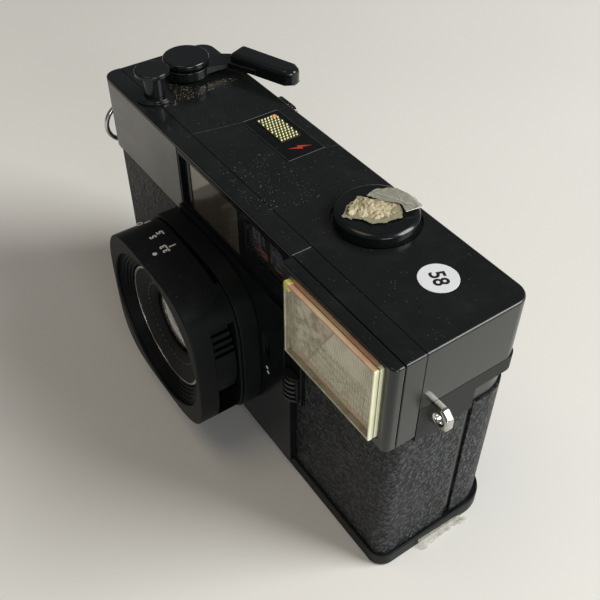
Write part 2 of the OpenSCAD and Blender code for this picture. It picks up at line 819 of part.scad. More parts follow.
module shutter_housing() {
    color("#2c2e30") difference() {
        rod_y(lens_x, lens_z, 17.3, -16.4, -3);
        rod_y(lens_x, lens_z, 9, -20, -12.4);
        rod_y(lens_x, lens_z, 16.2, -12.6, -11.2);
        rod_y(lens_x, lens_z, aperture_r, -12, -6);
        rod_y(lens_x, lens_z, 7, -9, 0);
        for (s = [-1, 1]) rod_y(lens_x + s * pivot[0], lens_z - pivot[1], 0.8 + running, -14, -9.5);
    }
}

// Half-round blade on its own pivot pin; side is -1 for the left blade
module shutter_blade(side, y0) {
    color("#1b1c1d") translate([lens_x, 0, lens_z]) {
        slab_y(y0, y0 + 0.25) {
            intersection() {
                circle(aperture_r + 0.6);
                translate([side < 0 ? -8 : -0.5, -8]) square([8.5, 16]);
            }
            translate([side * pivot[0] - 1.2, -pivot[1]]) square([2.4, pivot[1] - 3]);
            translate([side * pivot[0], -pivot[1]]) circle(1.5);
        }
        rod_y(side * pivot[0], -pivot[1], 0.8, -13.6, -9.8);
    }
}

module shutter_blade_left() {
    shutter_blade(-1, -12.45);
}

module shutter_blade_right() {
    shutter_blade(1, -11.75);
}

body_chassis();
cassette_holder();
battery_holder();
body_leather();
front_panel();
base_cover();
tripod_bush();
battery_lid();
battery_cells();
top_cover();
front_cover();
nameplate();
window_frame();
finder_window();
range_window();
finder_tube();
finder_lenses();
eyepiece_frame();
counter_window();
counter_dial();
flash_bezel();
flash_housing();
flash_window();
flash_reflector();
flash_tube();
flash_capacitor();
circuit_board();
lamp_plate();
lamp_window();
button_collar();
release_button();
button_spring();
advance_lever();
lever_tip();
takeup_spool();
sprocket();
rewind_knob();
rewind_shaft();
latch_plate();
back_door();
door_leather();
hinge_pin();
pressure_plate();
strap_lugs();
strap_ring();
flash_switch();
lens_mount();
lens_shroud();
baffle_ring();
trim_ring();
name_ring();
focus_ring();
lens_barrel();
front_element();
rear_element();
shutter_housing();
shutter_blade_left();
shutter_blade_right();
rewind_release();
case_screws();
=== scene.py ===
import json
import math
import random

import bmesh
import bpy
from mathutils import Matrix, Vector, geometry, noise
from mathutils.bvhtree import BVHTree

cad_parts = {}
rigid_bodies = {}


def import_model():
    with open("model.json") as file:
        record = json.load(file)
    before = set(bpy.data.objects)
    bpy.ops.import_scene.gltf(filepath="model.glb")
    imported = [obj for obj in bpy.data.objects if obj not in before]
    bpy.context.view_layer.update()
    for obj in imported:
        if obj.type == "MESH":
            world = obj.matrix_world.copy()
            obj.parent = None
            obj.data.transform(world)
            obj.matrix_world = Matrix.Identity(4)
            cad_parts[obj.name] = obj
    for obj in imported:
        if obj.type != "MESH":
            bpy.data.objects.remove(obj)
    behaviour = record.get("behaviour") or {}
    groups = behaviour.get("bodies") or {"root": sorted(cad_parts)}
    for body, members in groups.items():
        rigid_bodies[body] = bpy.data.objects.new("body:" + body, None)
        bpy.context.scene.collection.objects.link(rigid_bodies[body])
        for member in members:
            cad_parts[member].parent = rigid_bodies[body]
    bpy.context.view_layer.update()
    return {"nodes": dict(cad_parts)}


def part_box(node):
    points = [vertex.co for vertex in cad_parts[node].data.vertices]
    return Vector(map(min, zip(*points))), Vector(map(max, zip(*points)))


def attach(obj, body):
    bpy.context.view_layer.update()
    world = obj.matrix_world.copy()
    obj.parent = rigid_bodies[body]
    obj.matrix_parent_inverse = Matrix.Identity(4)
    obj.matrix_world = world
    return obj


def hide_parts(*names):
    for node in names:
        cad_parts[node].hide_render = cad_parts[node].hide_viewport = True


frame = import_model()
nodes = frame["nodes"]
scene = bpy.context.scene
mm = 0.001
noise.seed_set(8)  # the same torn edges each run


class Wire:
    # a socket that adds Math nodes when it is reckoned with
    def __init__(self, bench, socket):
        self.bench = bench
        self.socket = socket

    def math(self, operation, *values):
        return self.bench.node("ShaderNodeMath", {"operation": operation}, dict(enumerate(values)))

    def __add__(self, other):
        return self.math("ADD", self, other)

    def __sub__(self, other):
        return self.math("SUBTRACT", self, other)

    def __rsub__(self, other):
        return self.math("SUBTRACT", other, self)

    def __mul__(self, other):
        return self.math("MULTIPLY", self, other)

    __radd__ = __add__
    __rmul__ = __mul__

    def over(self, limit):
        return self.math("GREATER_THAN", self, limit)

    def under(self, limit):
        return self.math("LESS_THAN", self, limit)

    def ramp(self, low, high):
        inputs = {"Value": self, "From Min": low, "From Max": high}
        return self.bench.node("ShaderNodeMapRange", {"clamp": True}, inputs, "Result")


class Bench:
    # a node tree being wired: node() takes a type, its settings and the values or links of its sockets
    def __init__(self, tree):
        self.tree = tree

    def node(self, kind, settings=None, inputs=None, out=0):
        made = self.tree.nodes.new(kind)
        for key, value in (settings or {}).items():
            setattr(made, key, value)
        for key, value in (inputs or {}).items():
            self.feed(made.inputs[key], value)
        return Wire(self, made.outputs[out])

    def feed(self, socket, value):
        if isinstance(value, Wire):
            self.tree.links.new(value.socket, socket)
        else:
            socket.default_value = value


class Finish(Bench):
    # a material: Principled shader with constants set on it, and helpers for what varies over the surface
    def __init__(self, name, **fixed):
        self.material = bpy.data.materials.new(name)
        self.material.use_nodes = True
        super().__init__(self.material.node_tree)
        self.shader = self.tree.nodes["Principled BSDF"]
        for key, value in fixed.items():
            self.shader.inputs[key.replace("_", " ")].default_value = value
        self.here = self.node("ShaderNodeTexCoord", out="Object")

    def set(self, name, value):
        self.feed(self.shader.inputs[name], value)

    def stretch(self, scale, turn=(0, 0, 0)):
        return self.node("ShaderNodeMapping", {}, {"Vector": self.here, "Scale": scale, "Rotation": turn})

    def along(self, axis):
        # the place along x, y or z, in metres
        return self.node("ShaderNodeSeparateXYZ", {}, {0: self.here}, axis)

    def cloud(self, scale, detail=3.0, rough=0.5, warp=0.0, where=None):
        inputs = {"Vector": where or self.here, "Scale": scale, "Detail": detail, "Roughness": rough}
        return self.node("ShaderNodeTexNoise", {}, {**inputs, "Distortion": warp}, "Fac")

    def cells(self, scale, feature="F1", where=None, smooth=0.3):
        inputs = {"Vector": where or self.here, "Scale": scale}
        if feature == "SMOOTH_F1":
            inputs["Smoothness"] = smooth
        return self.node("ShaderNodeTexVoronoi", {"feature": feature}, inputs, "Distance")

    def bands(self, where, scale, warp):
        settings = {"wave_type": "BANDS", "bands_direction": "X"}
        inputs = {"Vector": where, "Scale": scale, "Distortion": warp, "Detail": 2.0}
        return self.node("ShaderNodeTexWave", settings, inputs, "Fac")

    def mix(self, first, second, factor):
        inputs = {0: factor, 6: self.colour(first), 7: self.colour(second)}
        return self.node("ShaderNodeMix", {"data_type": "RGBA"}, inputs, 2)

    def colour(self, value):
        return value if isinstance(value, Wire) else (*value, 1)

    def bump(self, height, depth, strength=1.0):
        self.set("Normal", self.node("ShaderNodeBump", {}, {"Height": height, "Distance": depth, "Strength": strength}))

    def up(self):
        normal = self.node("ShaderNodeNewGeometry", out="Normal")
        return self.node("ShaderNodeSeparateXYZ", {}, {0: normal}, 2)


plasticLook = {
    "tone": (0.0050, 0.0068, 0.0070),
    "dusty": (0.0150, 0.0168, 0.0155),
    "speck": (0.16, 0.155, 0.14),
    "roughness": 0.30,
    "grainSize": 0.00022,
    "grainDepth": 0.000009,
    "blotches": (38, 4, 0.55),
    "dustFilm": (140, 5, 0.62, 0.4),
    "rubbing": (11, 3),
    "speckCells": 1500,
    "speckWidth": 0.115,
}


def mouldedPlastic(name, settling=1.0, gloss=0.25, coat=0.35, **changes):
    # settling is how much dust lies on what faces up
    look = {**plasticLook, **changes}
    made = Finish(name, Specular_IOR_Level=gloss, Coat_Weight=coat, Coat_Roughness=0.1, Coat_IOR=1.5)
    cloud = made.cloud(*look["blotches"])
    film = made.cloud(*look["dustFilm"])
    rubbed = made.cloud(*look["rubbing"], where=made.stretch((1, 5, 1), (0, 0, 0.5)))
    lying = made.up().ramp(0.55, 0.98) * settling
    specks = made.cells(look["speckCells"]).under(look["speckWidth"]) * made.cloud(260, 2).over(0.585)
    dust = film.ramp(0.46, 0.78) * lying
    tone = made.mix(look["tone"], look["dusty"], cloud.ramp(0.35, 0.75) * 0.35 + dust * 0.45)
    made.set("Base Color", made.mix(tone, look["speck"], specks * lying * 0.8))
    made.set("Roughness", look["roughness"] + (cloud - 0.5) * 0.12 + dust * 0.16 + (rubbed - 0.5) * 0.08)
    made.bump(made.cloud(1 / look["grainSize"], 2), look["grainDepth"], 0.6)
    return made.material


leatherLook = {
    "ridge": (0.0375, 0.0430, 0.0475),
    "shadedValley": (0.0022, 0.0031, 0.0039),
    "worn": (0.150, 0.168, 0.180),
    "pebble": 0.00080,
    "tall": 0.72,
    "drift": 0.0012,
    "depth": 0.00042,
    "roughness": 0.40,
}


def leatherCovering(name):
    # bent pebbles with folds and fine grain: painted shade darkens the valleys between pebbles, and the highest ridges
    # are pale, part wear and part painted highlight
    look = leatherLook
    made = Finish(name, Specular_IOR_Level=0.18)
    swell = made.node("ShaderNodeTexNoise", {}, {"Vector": made.here, "Scale": 700.0, "Detail": 2.0}, "Color")
    drift = made.node("ShaderNodeVectorMath", {"operation": "SCALE"}, {0: swell, "Scale": look["drift"]})
    bent = made.node("ShaderNodeVectorMath", {"operation": "ADD"}, {0: made.here, 1: drift})
    upright = made.node("ShaderNodeMapping", {}, {"Vector": bent, "Scale": (1, 1, look["tall"])})
    pebbles = made.cells(1 / look["pebble"], "SMOOTH_F1", upright, 0.5)
    fine = made.cloud(2.4 / look["pebble"], 3, 0.6)
    folds = made.cloud(0.45 / look["pebble"], 3, 0.55, 0.6, made.stretch((1, 1, 0.5)))
    height = (1 - pebbles) * 0.8 + fine * 0.55 + folds * 0.45
    patch = made.cloud(55, 4, 0.6)
    # tone runs from painted shade in the valleys up to the ridge tone on the pebbles
    tone = made.mix(look["shadedValley"], look["ridge"], height.ramp(0.80, 1.11))
    # pale on the highest ridges: part wear, part painted highlight
    made.set("Base Color", made.mix(tone, look["worn"], height.ramp(1.08, 1.25) * patch.ramp(0.4, 0.75) * 0.8))
    made.set("Roughness", look["roughness"] + (patch - 0.5) * 0.2 - height.ramp(1.0, 1.4) * 0.08)
    made.bump(height, look["depth"], 1.0)
    return made.material


metalLook = {"brushed": (0.55, 0.55, 0.54), "spots": (0.30, 0.29, 0.27), "roughness": 0.28, "grain": (1, 1, 30)}


def wornMetal(name, **changes):
    look = {**metalLook, **changes}
    made = Finish(name, Metallic=1.0)
    lines = made.cloud(900, 3, where=made.stretch(look["grain"]))
    age = made.cloud(130, 4, 0.6)
    made.set("Base Color", made.mix(look["spots"], look["brushed"], age.ramp(0.3, 0.6)))
    made.set("Roughness", look["roughness"] + (lines - 0.5) * 0.25 + (age - 0.5) * 0.15)
    made.bump(lines, 0.000008, 0.5)
    return made.material


def flatPaint(name, tone, second, size, roughness=0.5, depth=0.00001):
    made = Finish(name)
    cloud = made.cloud(1 / size, 4, 0.6)
    made.set("Base Color", made.mix(tone, second, cloud.ramp(0.35, 0.7)))
    made.set("Roughness", roughness + (cloud - 0.5) * 0.15)
    made.bump(made.cloud(4 / size, 2), depth, 0.6)
    return made.material


def clearPlastic(name, tint, roughness, ior, haze=0.05, through=1.0):
    made = Finish(name, Transmission_Weight=through, IOR=ior)
    streak = made.cloud(160, 4, where=made.stretch((1, 1, 0.4)))
    made.set("Base Color", made.mix(tint, tuple(value * 0.9 for value in tint), streak.ramp(0.4, 0.7)))
    made.set("Roughness", roughness + streak.ramp(0.45, 0.9) * haze)
    made.bump(streak, 0.000001, 0.3)
    return made.material


def thinSheet(name, tint, least, most, roughness, haze, streaks=0.004, depth=0.00002):
    # a see-through sheet: mostly clear straight on, more solid at a slant and in its cloudy streaks
    made = Finish(name, IOR=1.5)
    streak = made.cloud(1 / streaks, 4, 0.6, where=made.stretch((1, 1, 0.4)))
    made.set("Base Color", made.mix(tint, tuple(value * 0.8 for value in tint), streak.ramp(0.35, 0.7)))
    made.set("Roughness", roughness + streak.ramp(0.45, 0.9) * haze)
    made.bump(streak, depth, 0.5)
    slant = made.node("ShaderNodeLayerWeight", {}, {"Blend": 0.5}, "Facing")
    solid = slant.math("POWER", slant, 3.0) * (most - least) + least + (streak - 0.5) * haze
    clear = made.node("ShaderNodeBsdfTransparent")
    sheet = {0: solid.math("MAXIMUM", solid, 0.0), 1: clear, 2: Wire(made, made.shader.outputs[0])}
    made.feed(made.tree.nodes["Material Output"].inputs["Surface"], made.node("ShaderNodeMixShader", {}, sheet))
    return made.material


trayLook = {
    "paintedShade": (0.46, 0.42, 0.29),
    "cream": (0.93, 0.89, 0.68),
    "end": (0.66, 0.57, 0.46),
    "red": (0.55, 0.17, 0.13),
    "rib": (0.40, 0.36, 0.22),
    "ribScale": 260.0,
    # where each zone fades, in metres
    "creamUnder": (0.0600, 0.0650),
    "endBefore": (0.0385, 0.0415),
    "redOver": (0.0615, 0.0635),
    "redUnder": (0.0680, 0.0700),
}


def flashMirror(name):
    # the flash's tray: creamy, ribbed across, with a ruddy end and painted shade darkening its top
    look = trayLook
    made = Finish(name, Metallic=0.12)
    x, z = made.along(0), made.along(2)
    cloud = made.cloud(210, 4, 0.6)
    ribs = made.bands(made.here, look["ribScale"], 1.2)
    low = 1 - z.ramp(*look["creamUnder"])
    # cream low down, painted shade over the upper part
    base = made.mix(look["paintedShade"], look["cream"], low * 0.75 + cloud.ramp(0.4, 0.7) * 0.25)
    end = 1 - x.ramp(*look["endBefore"])
    base = made.mix(base, look["end"], end * 0.8)
    red = end * cloud.ramp(0.42, 0.60) * z.ramp(*look["redOver"]) * (1 - z.ramp(*look["redUnder"]))
    base = made.mix(base, look["red"], red * 0.8)
    made.set("Base Color", made.mix(base, look["rib"], ribs.ramp(0.5, 0.9) * 0.55))
    made.set("Roughness", 0.22 + cloud * 0.2)
    made.bump(ribs, 0.00008, 0.6)
    return made.material


lensSheetLook = {
    "cream": (1.0, 0.98, 0.80),
    "duller": (0.80, 0.76, 0.56),
    "line": (0.42, 0.37, 0.24),
    "lineScale": 520.0,
    "end": (0.74, 0.69, 0.55),
    "endShade": (0.36, 0.32, 0.23),
    "ruddy": (0.50, 0.26, 0.19),
    "seam": (0.30, 0.22, 0.14),
    "top": (0.30, 0.28, 0.12),
    # the slanting seam between the end and the rest, a dark line of painted shade along the fold: its foot in x and z,
    # and its lean
    "seamFoot": (0.0375, 0.0555),
    "lean": 0.54,
    # where each zone fades, in metres
    "ruddyPast": (0.0375, 0.0395),
    "ruddyOver": (0.0625, 0.0650),
    "ruddyUnder": (0.0692, 0.0705),
    "topOver": (0.0702, 0.0710),
}


def flashLensPaint(name):
    # the lens sheet of the flash: creamy with fine cross lines, greyer and ruddy at its inner end, with a dark slanting
    # line of painted shade along the fold and painted shade along its top
    look = lensSheetLook
    made = Finish(name, Specular_IOR_Level=0.6)
    x, z = made.along(0), made.along(2)
    cloud = made.cloud(260, 4, 0.6)
    footX, footZ = look["seamFoot"]
    past = x - footX - (z - footZ) * look["lean"] + (cloud - 0.5) * 0.0008
    slope = past.ramp(-0.0002, 0.0003)
    lines = made.bands(made.stretch((1, 1, 1), (0, 0.25, 0)), look["lineScale"], 2.5)
    cream = made.mix(look["cream"], look["duller"], cloud.ramp(0.42, 0.68))
    cream = made.mix(cream, look["line"], lines.ramp(0.62, 0.92) * 0.9)
    end = made.mix(look["end"], look["endShade"], made.cloud(420, 3).ramp(0.42, 0.6))
    ruddy = cloud.ramp(0.36, 0.50) * x.ramp(*look["ruddyPast"]) * z.ramp(*look["ruddyOver"])
    ruddy = ruddy * (1 - z.ramp(*look["ruddyUnder"]))
    end = made.mix(end, look["ruddy"], ruddy * 0.35)
    base = made.mix(end, cream, slope)
    # a dark line along the fold between the end and the rest: painted shade
    seam = slope * (1 - past.ramp(0.0004, 0.0008))
    base = made.mix(base, look["seam"], seam * 0.8)
    # painted shade along the top
    made.set("Base Color", made.mix(base, look["top"], z.ramp(*look["topOver"]) * 0.9))
    made.set("Roughness", 0.25 + cloud * 0.25)
    made.set("Alpha", 0.93 + (lines - 0.5) * 0.1)
    made.bump(lines, 0.00008, 0.7)
    return made.material


paneLook = {
    "dark": (0.050, 0.045, 0.038),
    "light": (0.105, 0.092, 0.076),
    "pale": (0.38, 0.36, 0.30),
    # the paler corner, a painted reflection, in metres: its left edge, its top, its slope and where it fades
    "left": 0.0158,
    "top": 0.0725,
    "slope": 0.80,
    "fade": (0.0078, 0.0086),
}


def silveredPane(name):
    # half-silvered finder pane: darker beige, and paler towards its upper left corner as a painted reflection
    look = paneLook
    made = Finish(name, Metallic=0.35)
    x, z = made.along(0), made.along(2)
    edge = (x + look["left"]) * look["slope"] + (look["top"] - z) + (made.cloud(180, 2) - 0.5) * 0.0012
    drift = made.cloud(90, 3, where=made.stretch((1, 1, 0.15)))
    base = made.mix(look["dark"], look["light"], drift.ramp(0.35, 0.65))
    # the paler upper left corner is a painted reflection
    made.set("Base Color", made.mix(base, look["pale"], 1 - edge.ramp(*look["fade"])))
    made.set("Roughness", 0.14 + (drift - 0.5) * 0.1)
    return made.material


plateLook = {"dark": (0.17, 0.17, 0.168), "light": (0.24, 0.236, 0.23), "roughness": 0.36}


def plateGrey(name):
    made = Finish(name, Metallic=0.85)
    lines = made.cloud(1500, 2, where=made.stretch((0.02, 1, 1)))
    age = made.cloud(70, 4, 0.6)
    made.set("Base Color", made.mix(plateLook["dark"], plateLook["light"], age.ramp(0.3, 0.7)))
    made.set("Roughness", plateLook["roughness"] + (lines - 0.5) * 0.2 + (age - 0.5) * 0.15)
    made.bump(lines, 0.000006, 0.4)
    return made.material


def crumbPaint(name, tone, second, third, size):
    made = Finish(name, Subsurface_Weight=0.15, Subsurface_Radius=(0.002, 0.0015, 0.001), Subsurface_Scale=0.4)
    coarse = made.cloud(1 / size, 5, 0.7, 0.5)
    fine = made.cells(2.4 / size, "SMOOTH_F1")
    base = made.mix(tone, second, coarse.ramp(0.35, 0.62))
    made.set("Base Color", made.mix(base, third, coarse.ramp(0.56, 0.72) * 0.85))
    made.set("Roughness", 0.42 + coarse * 0.3)
    made.bump(coarse + fine * 0.35, 0.00018, 0.8)
    return made.material


paints = {
    "leather": leatherCovering("leatherCovering"),
    "plate": plateGrey("barePlate"),
    "reflector": flashMirror("flashMirror"),
    "flashLens": flashLensPaint("flashLensSheet"),
    "silvered": silveredPane("silveredPane"),
    "residue": crumbPaint("glueResidue", (0.36, 0.30, 0.17), (0.56, 0.51, 0.36), (0.27, 0.16, 0.06), 0.0030),
    "lens": clearPlastic("coatedGlass", (0.96, 0.97, 1.0), 0.0, 1.62, haze=0.01),
    "smoked": clearPlastic("smokedPane", (0.10, 0.10, 0.10), 0.12, 1.5, through=0.85),
}
plasticLooks = {
    "cover": {"name": "coverPlastic"},
    "shroud": {
        "name": "shroudPlastic", "gloss": 0.12, "coat": 0.0,
        "roughness": 0.42, "grainDepth": 0.000014, "tone": (0.0036, 0.0054, 0.0058),
    },
    "knob": {
        "name": "knobPlastic", "settling": 0.2, "coat": 0.3,
        "roughness": 0.22, "grainDepth": 0.000004, "tone": (0.0036, 0.0052, 0.0060),
    },
    "smooth": {
        "name": "smoothPlastic", "settling": 0.6, "gloss": 0.12, "coat": 0.12,
        "roughness": 0.24, "grainDepth": 0.000005, "tone": (0.0040, 0.0052, 0.0060),
    },
    "inside": {
        "name": "insidePlastic", "settling": 0.2, "coat": 0.0, "roughness": 0.55, "tone": (0.010, 0.0105, 0.0105),
    },
}
metalLooks = {
    "bright": {"name": "brightSteel", "brushed": (0.72, 0.71, 0.69), "spots": (0.42, 0.40, 0.36), "roughness": 0.2},
    "steel": {"name": "plainSteel"},
    "darkMetal": {
        "name": "blackenedMetal", "brushed": (0.035, 0.035, 0.037), "spots": (0.015, 0.015, 0.016), "roughness": 0.38,
    },
}
sheetLooks = {
    # material, tint, solid straight on, solid at a slant, roughness, haze, streak size and depth in metres
    "clear": ("windowPane", (0.10, 0.10, 0.10), 0.03, 0.60, 0.08, 0.03, 0.004, 0.000001),
    "flashCap": ("flashPane", (0.86, 0.84, 0.68), 0.015, 0.26, 0.06, 0.05, 0.004, 0.000004),
    "glueSheet": ("glueSheet", (0.42, 0.41, 0.28), 0.70, 0.95, 0.30, 0.35, 0.0022, 0.0001),
    "film": ("dryFilm", (0.52, 0.52, 0.43), 0.50, 0.95, 0.22, 0.35, 0.0030, 0.0001),
    "tape": ("tapeFilm", (0.58, 0.57, 0.48), 0.22, 0.85, 0.25, 0.5, 0.0018, 0.0001),
    "thread": ("paleThread", (0.75, 0.72, 0.58), 0.35, 0.8, 0.2, 0.3, 0.001),
}
flatLooks = {
    # material, two tones, patch size in metres, roughness, bump depth
    "board": ("boardGreen", (0.03, 0.10, 0.045), (0.02, 0.07, 0.03), 0.002),
    "cell": ("cellJacket", (0.10, 0.105, 0.11), (0.30, 0.29, 0.27), 0.008, 0.35),
    "dial": ("dialWhite", (0.70, 0.69, 0.66), (0.62, 0.61, 0.58), 0.004, 0.4),
    "lamp": ("lampLens", (0.70, 0.70, 0.34), (0.90, 0.90, 0.66), 0.0006, 0.12),
    # dark olive: painted shade in the gaps between the lamp window's bumps
    "lampBase": ("lampBase", (0.030, 0.030, 0.008), (0.085, 0.085, 0.02), 0.0008, 0.25),
    "ink": ("blackInk", (0.008, 0.008, 0.009), (0.014, 0.014, 0.014), 0.001, 0.4),
    "whiteInk": ("whiteInk", (0.72, 0.72, 0.69), (0.58, 0.58, 0.55), 0.0006, 0.5),
    "redInk": ("redInk", (0.50, 0.045, 0.02), (0.36, 0.03, 0.015), 0.0006, 0.5),
    "paper": ("stickerPaper", (0.76, 0.79, 0.83), (0.72, 0.745, 0.78), 0.0012, 0.55, 0.00003),
    "filmEdge": ("filmEdge", (0.82, 0.83, 0.80), (0.66, 0.66, 0.60), 0.002, 0.2),
    "grit": ("goldenGrit", (0.20, 0.135, 0.05), (0.34, 0.27, 0.15), 0.0003, 0.55),
    "lint": ("paleLint", (0.15, 0.148, 0.135), (0.05, 0.05, 0.048), 0.0003, 0.7),
    "orange": ("orangeCorner", (0.70, 0.30, 0.06), (0.55, 0.20, 0.04), 0.001, 0.3),
    "amber": ("amberPlastic", (0.60, 0.52, 0.08), (0.78, 0.74, 0.30), 0.0012, 0.15),
    "salmon": ("salmonEdge", (0.58, 0.27, 0.18), (0.66, 0.54, 0.32), 0.009, 0.22),
    "olive": ("oliveEdge", (0.20, 0.185, 0.07), (0.34, 0.31, 0.14), 0.002, 0.2),
    # painted light: the flash cap's bright right-hand edges, glowing where there is no lamp
    "glow": ("litEdge", (0.96, 0.97, 0.72), (0.88, 0.89, 0.58), 0.004, 0.2),
    "pale": ("paleEdge", (0.55, 0.53, 0.38), (0.34, 0.31, 0.20), 0.002, 0.25),
    "crack": ("crackLine", (0.75, 0.72, 0.60), (0.45, 0.42, 0.32), 0.001, 0.3),
    "brownLine": ("brownLine", (0.16, 0.12, 0.07), (0.26, 0.20, 0.12), 0.002, 0.4),
    "seam": ("paleSeam", (0.026, 0.028, 0.028), (0.060, 0.060, 0.057), 0.0015, 0.5),
    "bluePrism": ("bluePrism", (0.030, 0.036, 0.050), (0.12, 0.13, 0.16), 0.0012, 0.15),
    "redPrism": ("redPrism", (0.30, 0.085, 0.060), (0.12, 0.04, 0.035), 0.0012, 0.2),
}
paints.update({paint: mouldedPlastic(**look) for paint, look in plasticLooks.items()})
paints.update({paint: wornMetal(**look) for paint, look in metalLooks.items()})
paints.update({paint: thinSheet(*look) for paint, look in sheetLooks.items()})
paints.update({paint: flatPaint(*look) for paint, look in flatLooks.items()})
print("finishes mixed:", len(paints))


def shadeFlats(mesh, limit=50):
    # corner normals weighted by area: flats stay flat, rounded edges and barrels run smooth
    for name in ("custom_normal", "sharp_edge", "sharp_face"):
        if name in mesh.attributes:
            mesh.attributes.remove(mesh.attributes[name])
    faces = [(Vector(face.normal), face.area) for face in mesh.polygons]
    around = [[] for _ in mesh.vertices]
    for index, face in enumerate(mesh.polygons):
        for vertex in face.vertices:
            around[vertex].append(index)
    least = math.cos(math.radians(limit))
    corners = []
    for index, face in enumerate(mesh.polygons):
        own = faces[index][0]
        for vertex in face.vertices:
            total = Vector((0, 0, 0))
            for other in around[vertex]:
                normal, area = faces[other]
                if normal.dot(own) > least:
                    total += normal * area
            corners.append(total.normalized() if total.length > 1e-14 else own)
    mesh.normals_split_custom_set(corners)


def placed(name, data):
    # an object in the scene that holds this mesh, curve, lamp or camera
    made = bpy.data.objects.new(name, data)
    scene.collection.objects.link(made)
    return made


def keep(mesh, name, body, paint, stands=(), smooth=True):
    # a finished mesh, already in place, becomes a named piece on its body
    piece = placed(name, mesh)
    mesh.materials.clear()
    mesh.materials.append(paints[paint])
    if smooth:
        mesh.shade_smooth()
        shadeFlats(mesh)
    else:
        mesh.shade_flat()
    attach(piece, body)
    if stands:
        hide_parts(*stands)


def settled(owner):
    # the evaluated object as a plain mesh
    graph = bpy.context.evaluated_depsgraph_get()
    mesh = bpy.data.meshes.new_from_object(owner.evaluated_get(graph), depsgraph=graph)
    bpy.data.objects.remove(owner)
    return mesh


edgeLook = {
    "steps": 4,
    "sharpFrom": 36,
    "flatWithin": 0.6,
    "weld": 0.000003,
    # two edges lead on into one another where the cosine between their ways out is under this
    "leadOn": -0.8,
}


def runsOf(shell, sharp):
    # sharp edges that lead on into one another with little turn, gathered into runs
    leader = {edge: edge for edge in sharp}

    def head(edge):
        while leader[edge] is not edge:
            edge = leader[edge]
        return edge

    for vertex in shell.verts:
        ends = [edge for edge in vertex.link_edges if edge in leader]
        ways = [(edge.other_vert(vertex).co - vertex.co).normalized() for edge in ends]
        for i, one in enumerate(ends):
            for j in range(i):
                if ways[i].dot(ways[j]) < edgeLook["leadOn"]:
                    leader[head(one)] = head(ends[j])
    runs = {}
    for edge in sharp:
        runs.setdefault(head(edge), []).append(edge)
    return runs.values()


def softened(nodeName, radius, rules):
    # a copy of a CAD node with its sharp edges rounded over, one radius to each run of edges
    shell = bmesh.new()
    shell.from_mesh(nodes[nodeName].data)
    bmesh.ops.remove_doubles(shell, verts=shell.verts, dist=edgeLook["weld"])
    flat = math.radians(edgeLook["flatWithin"])
    bmesh.ops.dissolve_limit(shell, angle_limit=flat, verts=shell.verts, edges=shell.edges)
    widest = max([radius] + [rule[2] for rule in rules])
    share = shell.edges.layers.float.new("bevel_weight_edge")
    least = math.radians(edgeLook["sharpFrom"])
    sharp = [edge for edge in shell.edges if len(edge.link_faces) == 2 and edge.calc_face_angle(0) > least]
    for run in runsOf(shell, sharp):
        wanted = radius
        middles = [(edge.verts[0].co + edge.verts[1].co) / 2 / mm for edge in run]
        for low, high, ruled in rules:
            if any(all(low[axis] <= middle[axis] <= high[axis] for axis in range(3)) for middle in middles):
                wanted = ruled
        for edge in run:
            edge[share] = wanted / widest
    mesh = bpy.data.meshes.new(nodeName + "Soft")
    shell.to_mesh(mesh)
    shell.free()
    mesh.materials.clear()
    for face in mesh.polygons:
        face.use_smooth = True
    owner = placed(nodeName + "Soft", mesh)
    bevel = owner.modifiers.new("edges", "BEVEL")
    bevel.width = widest * mm
    bevel.segments = edgeLook["steps"]
    bevel.limit_method = "WEIGHT"
    bevel.use_clamp_overlap = False
    bevel.miter_outer = "MITER_ARC"
    soft = settled(owner)
    low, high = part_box(nodeName)
    for vertex in soft.vertices:
        vertex.co = [min(max(vertex.co[axis], low[axis]), high[axis]) for axis in range(3)]
    return soft


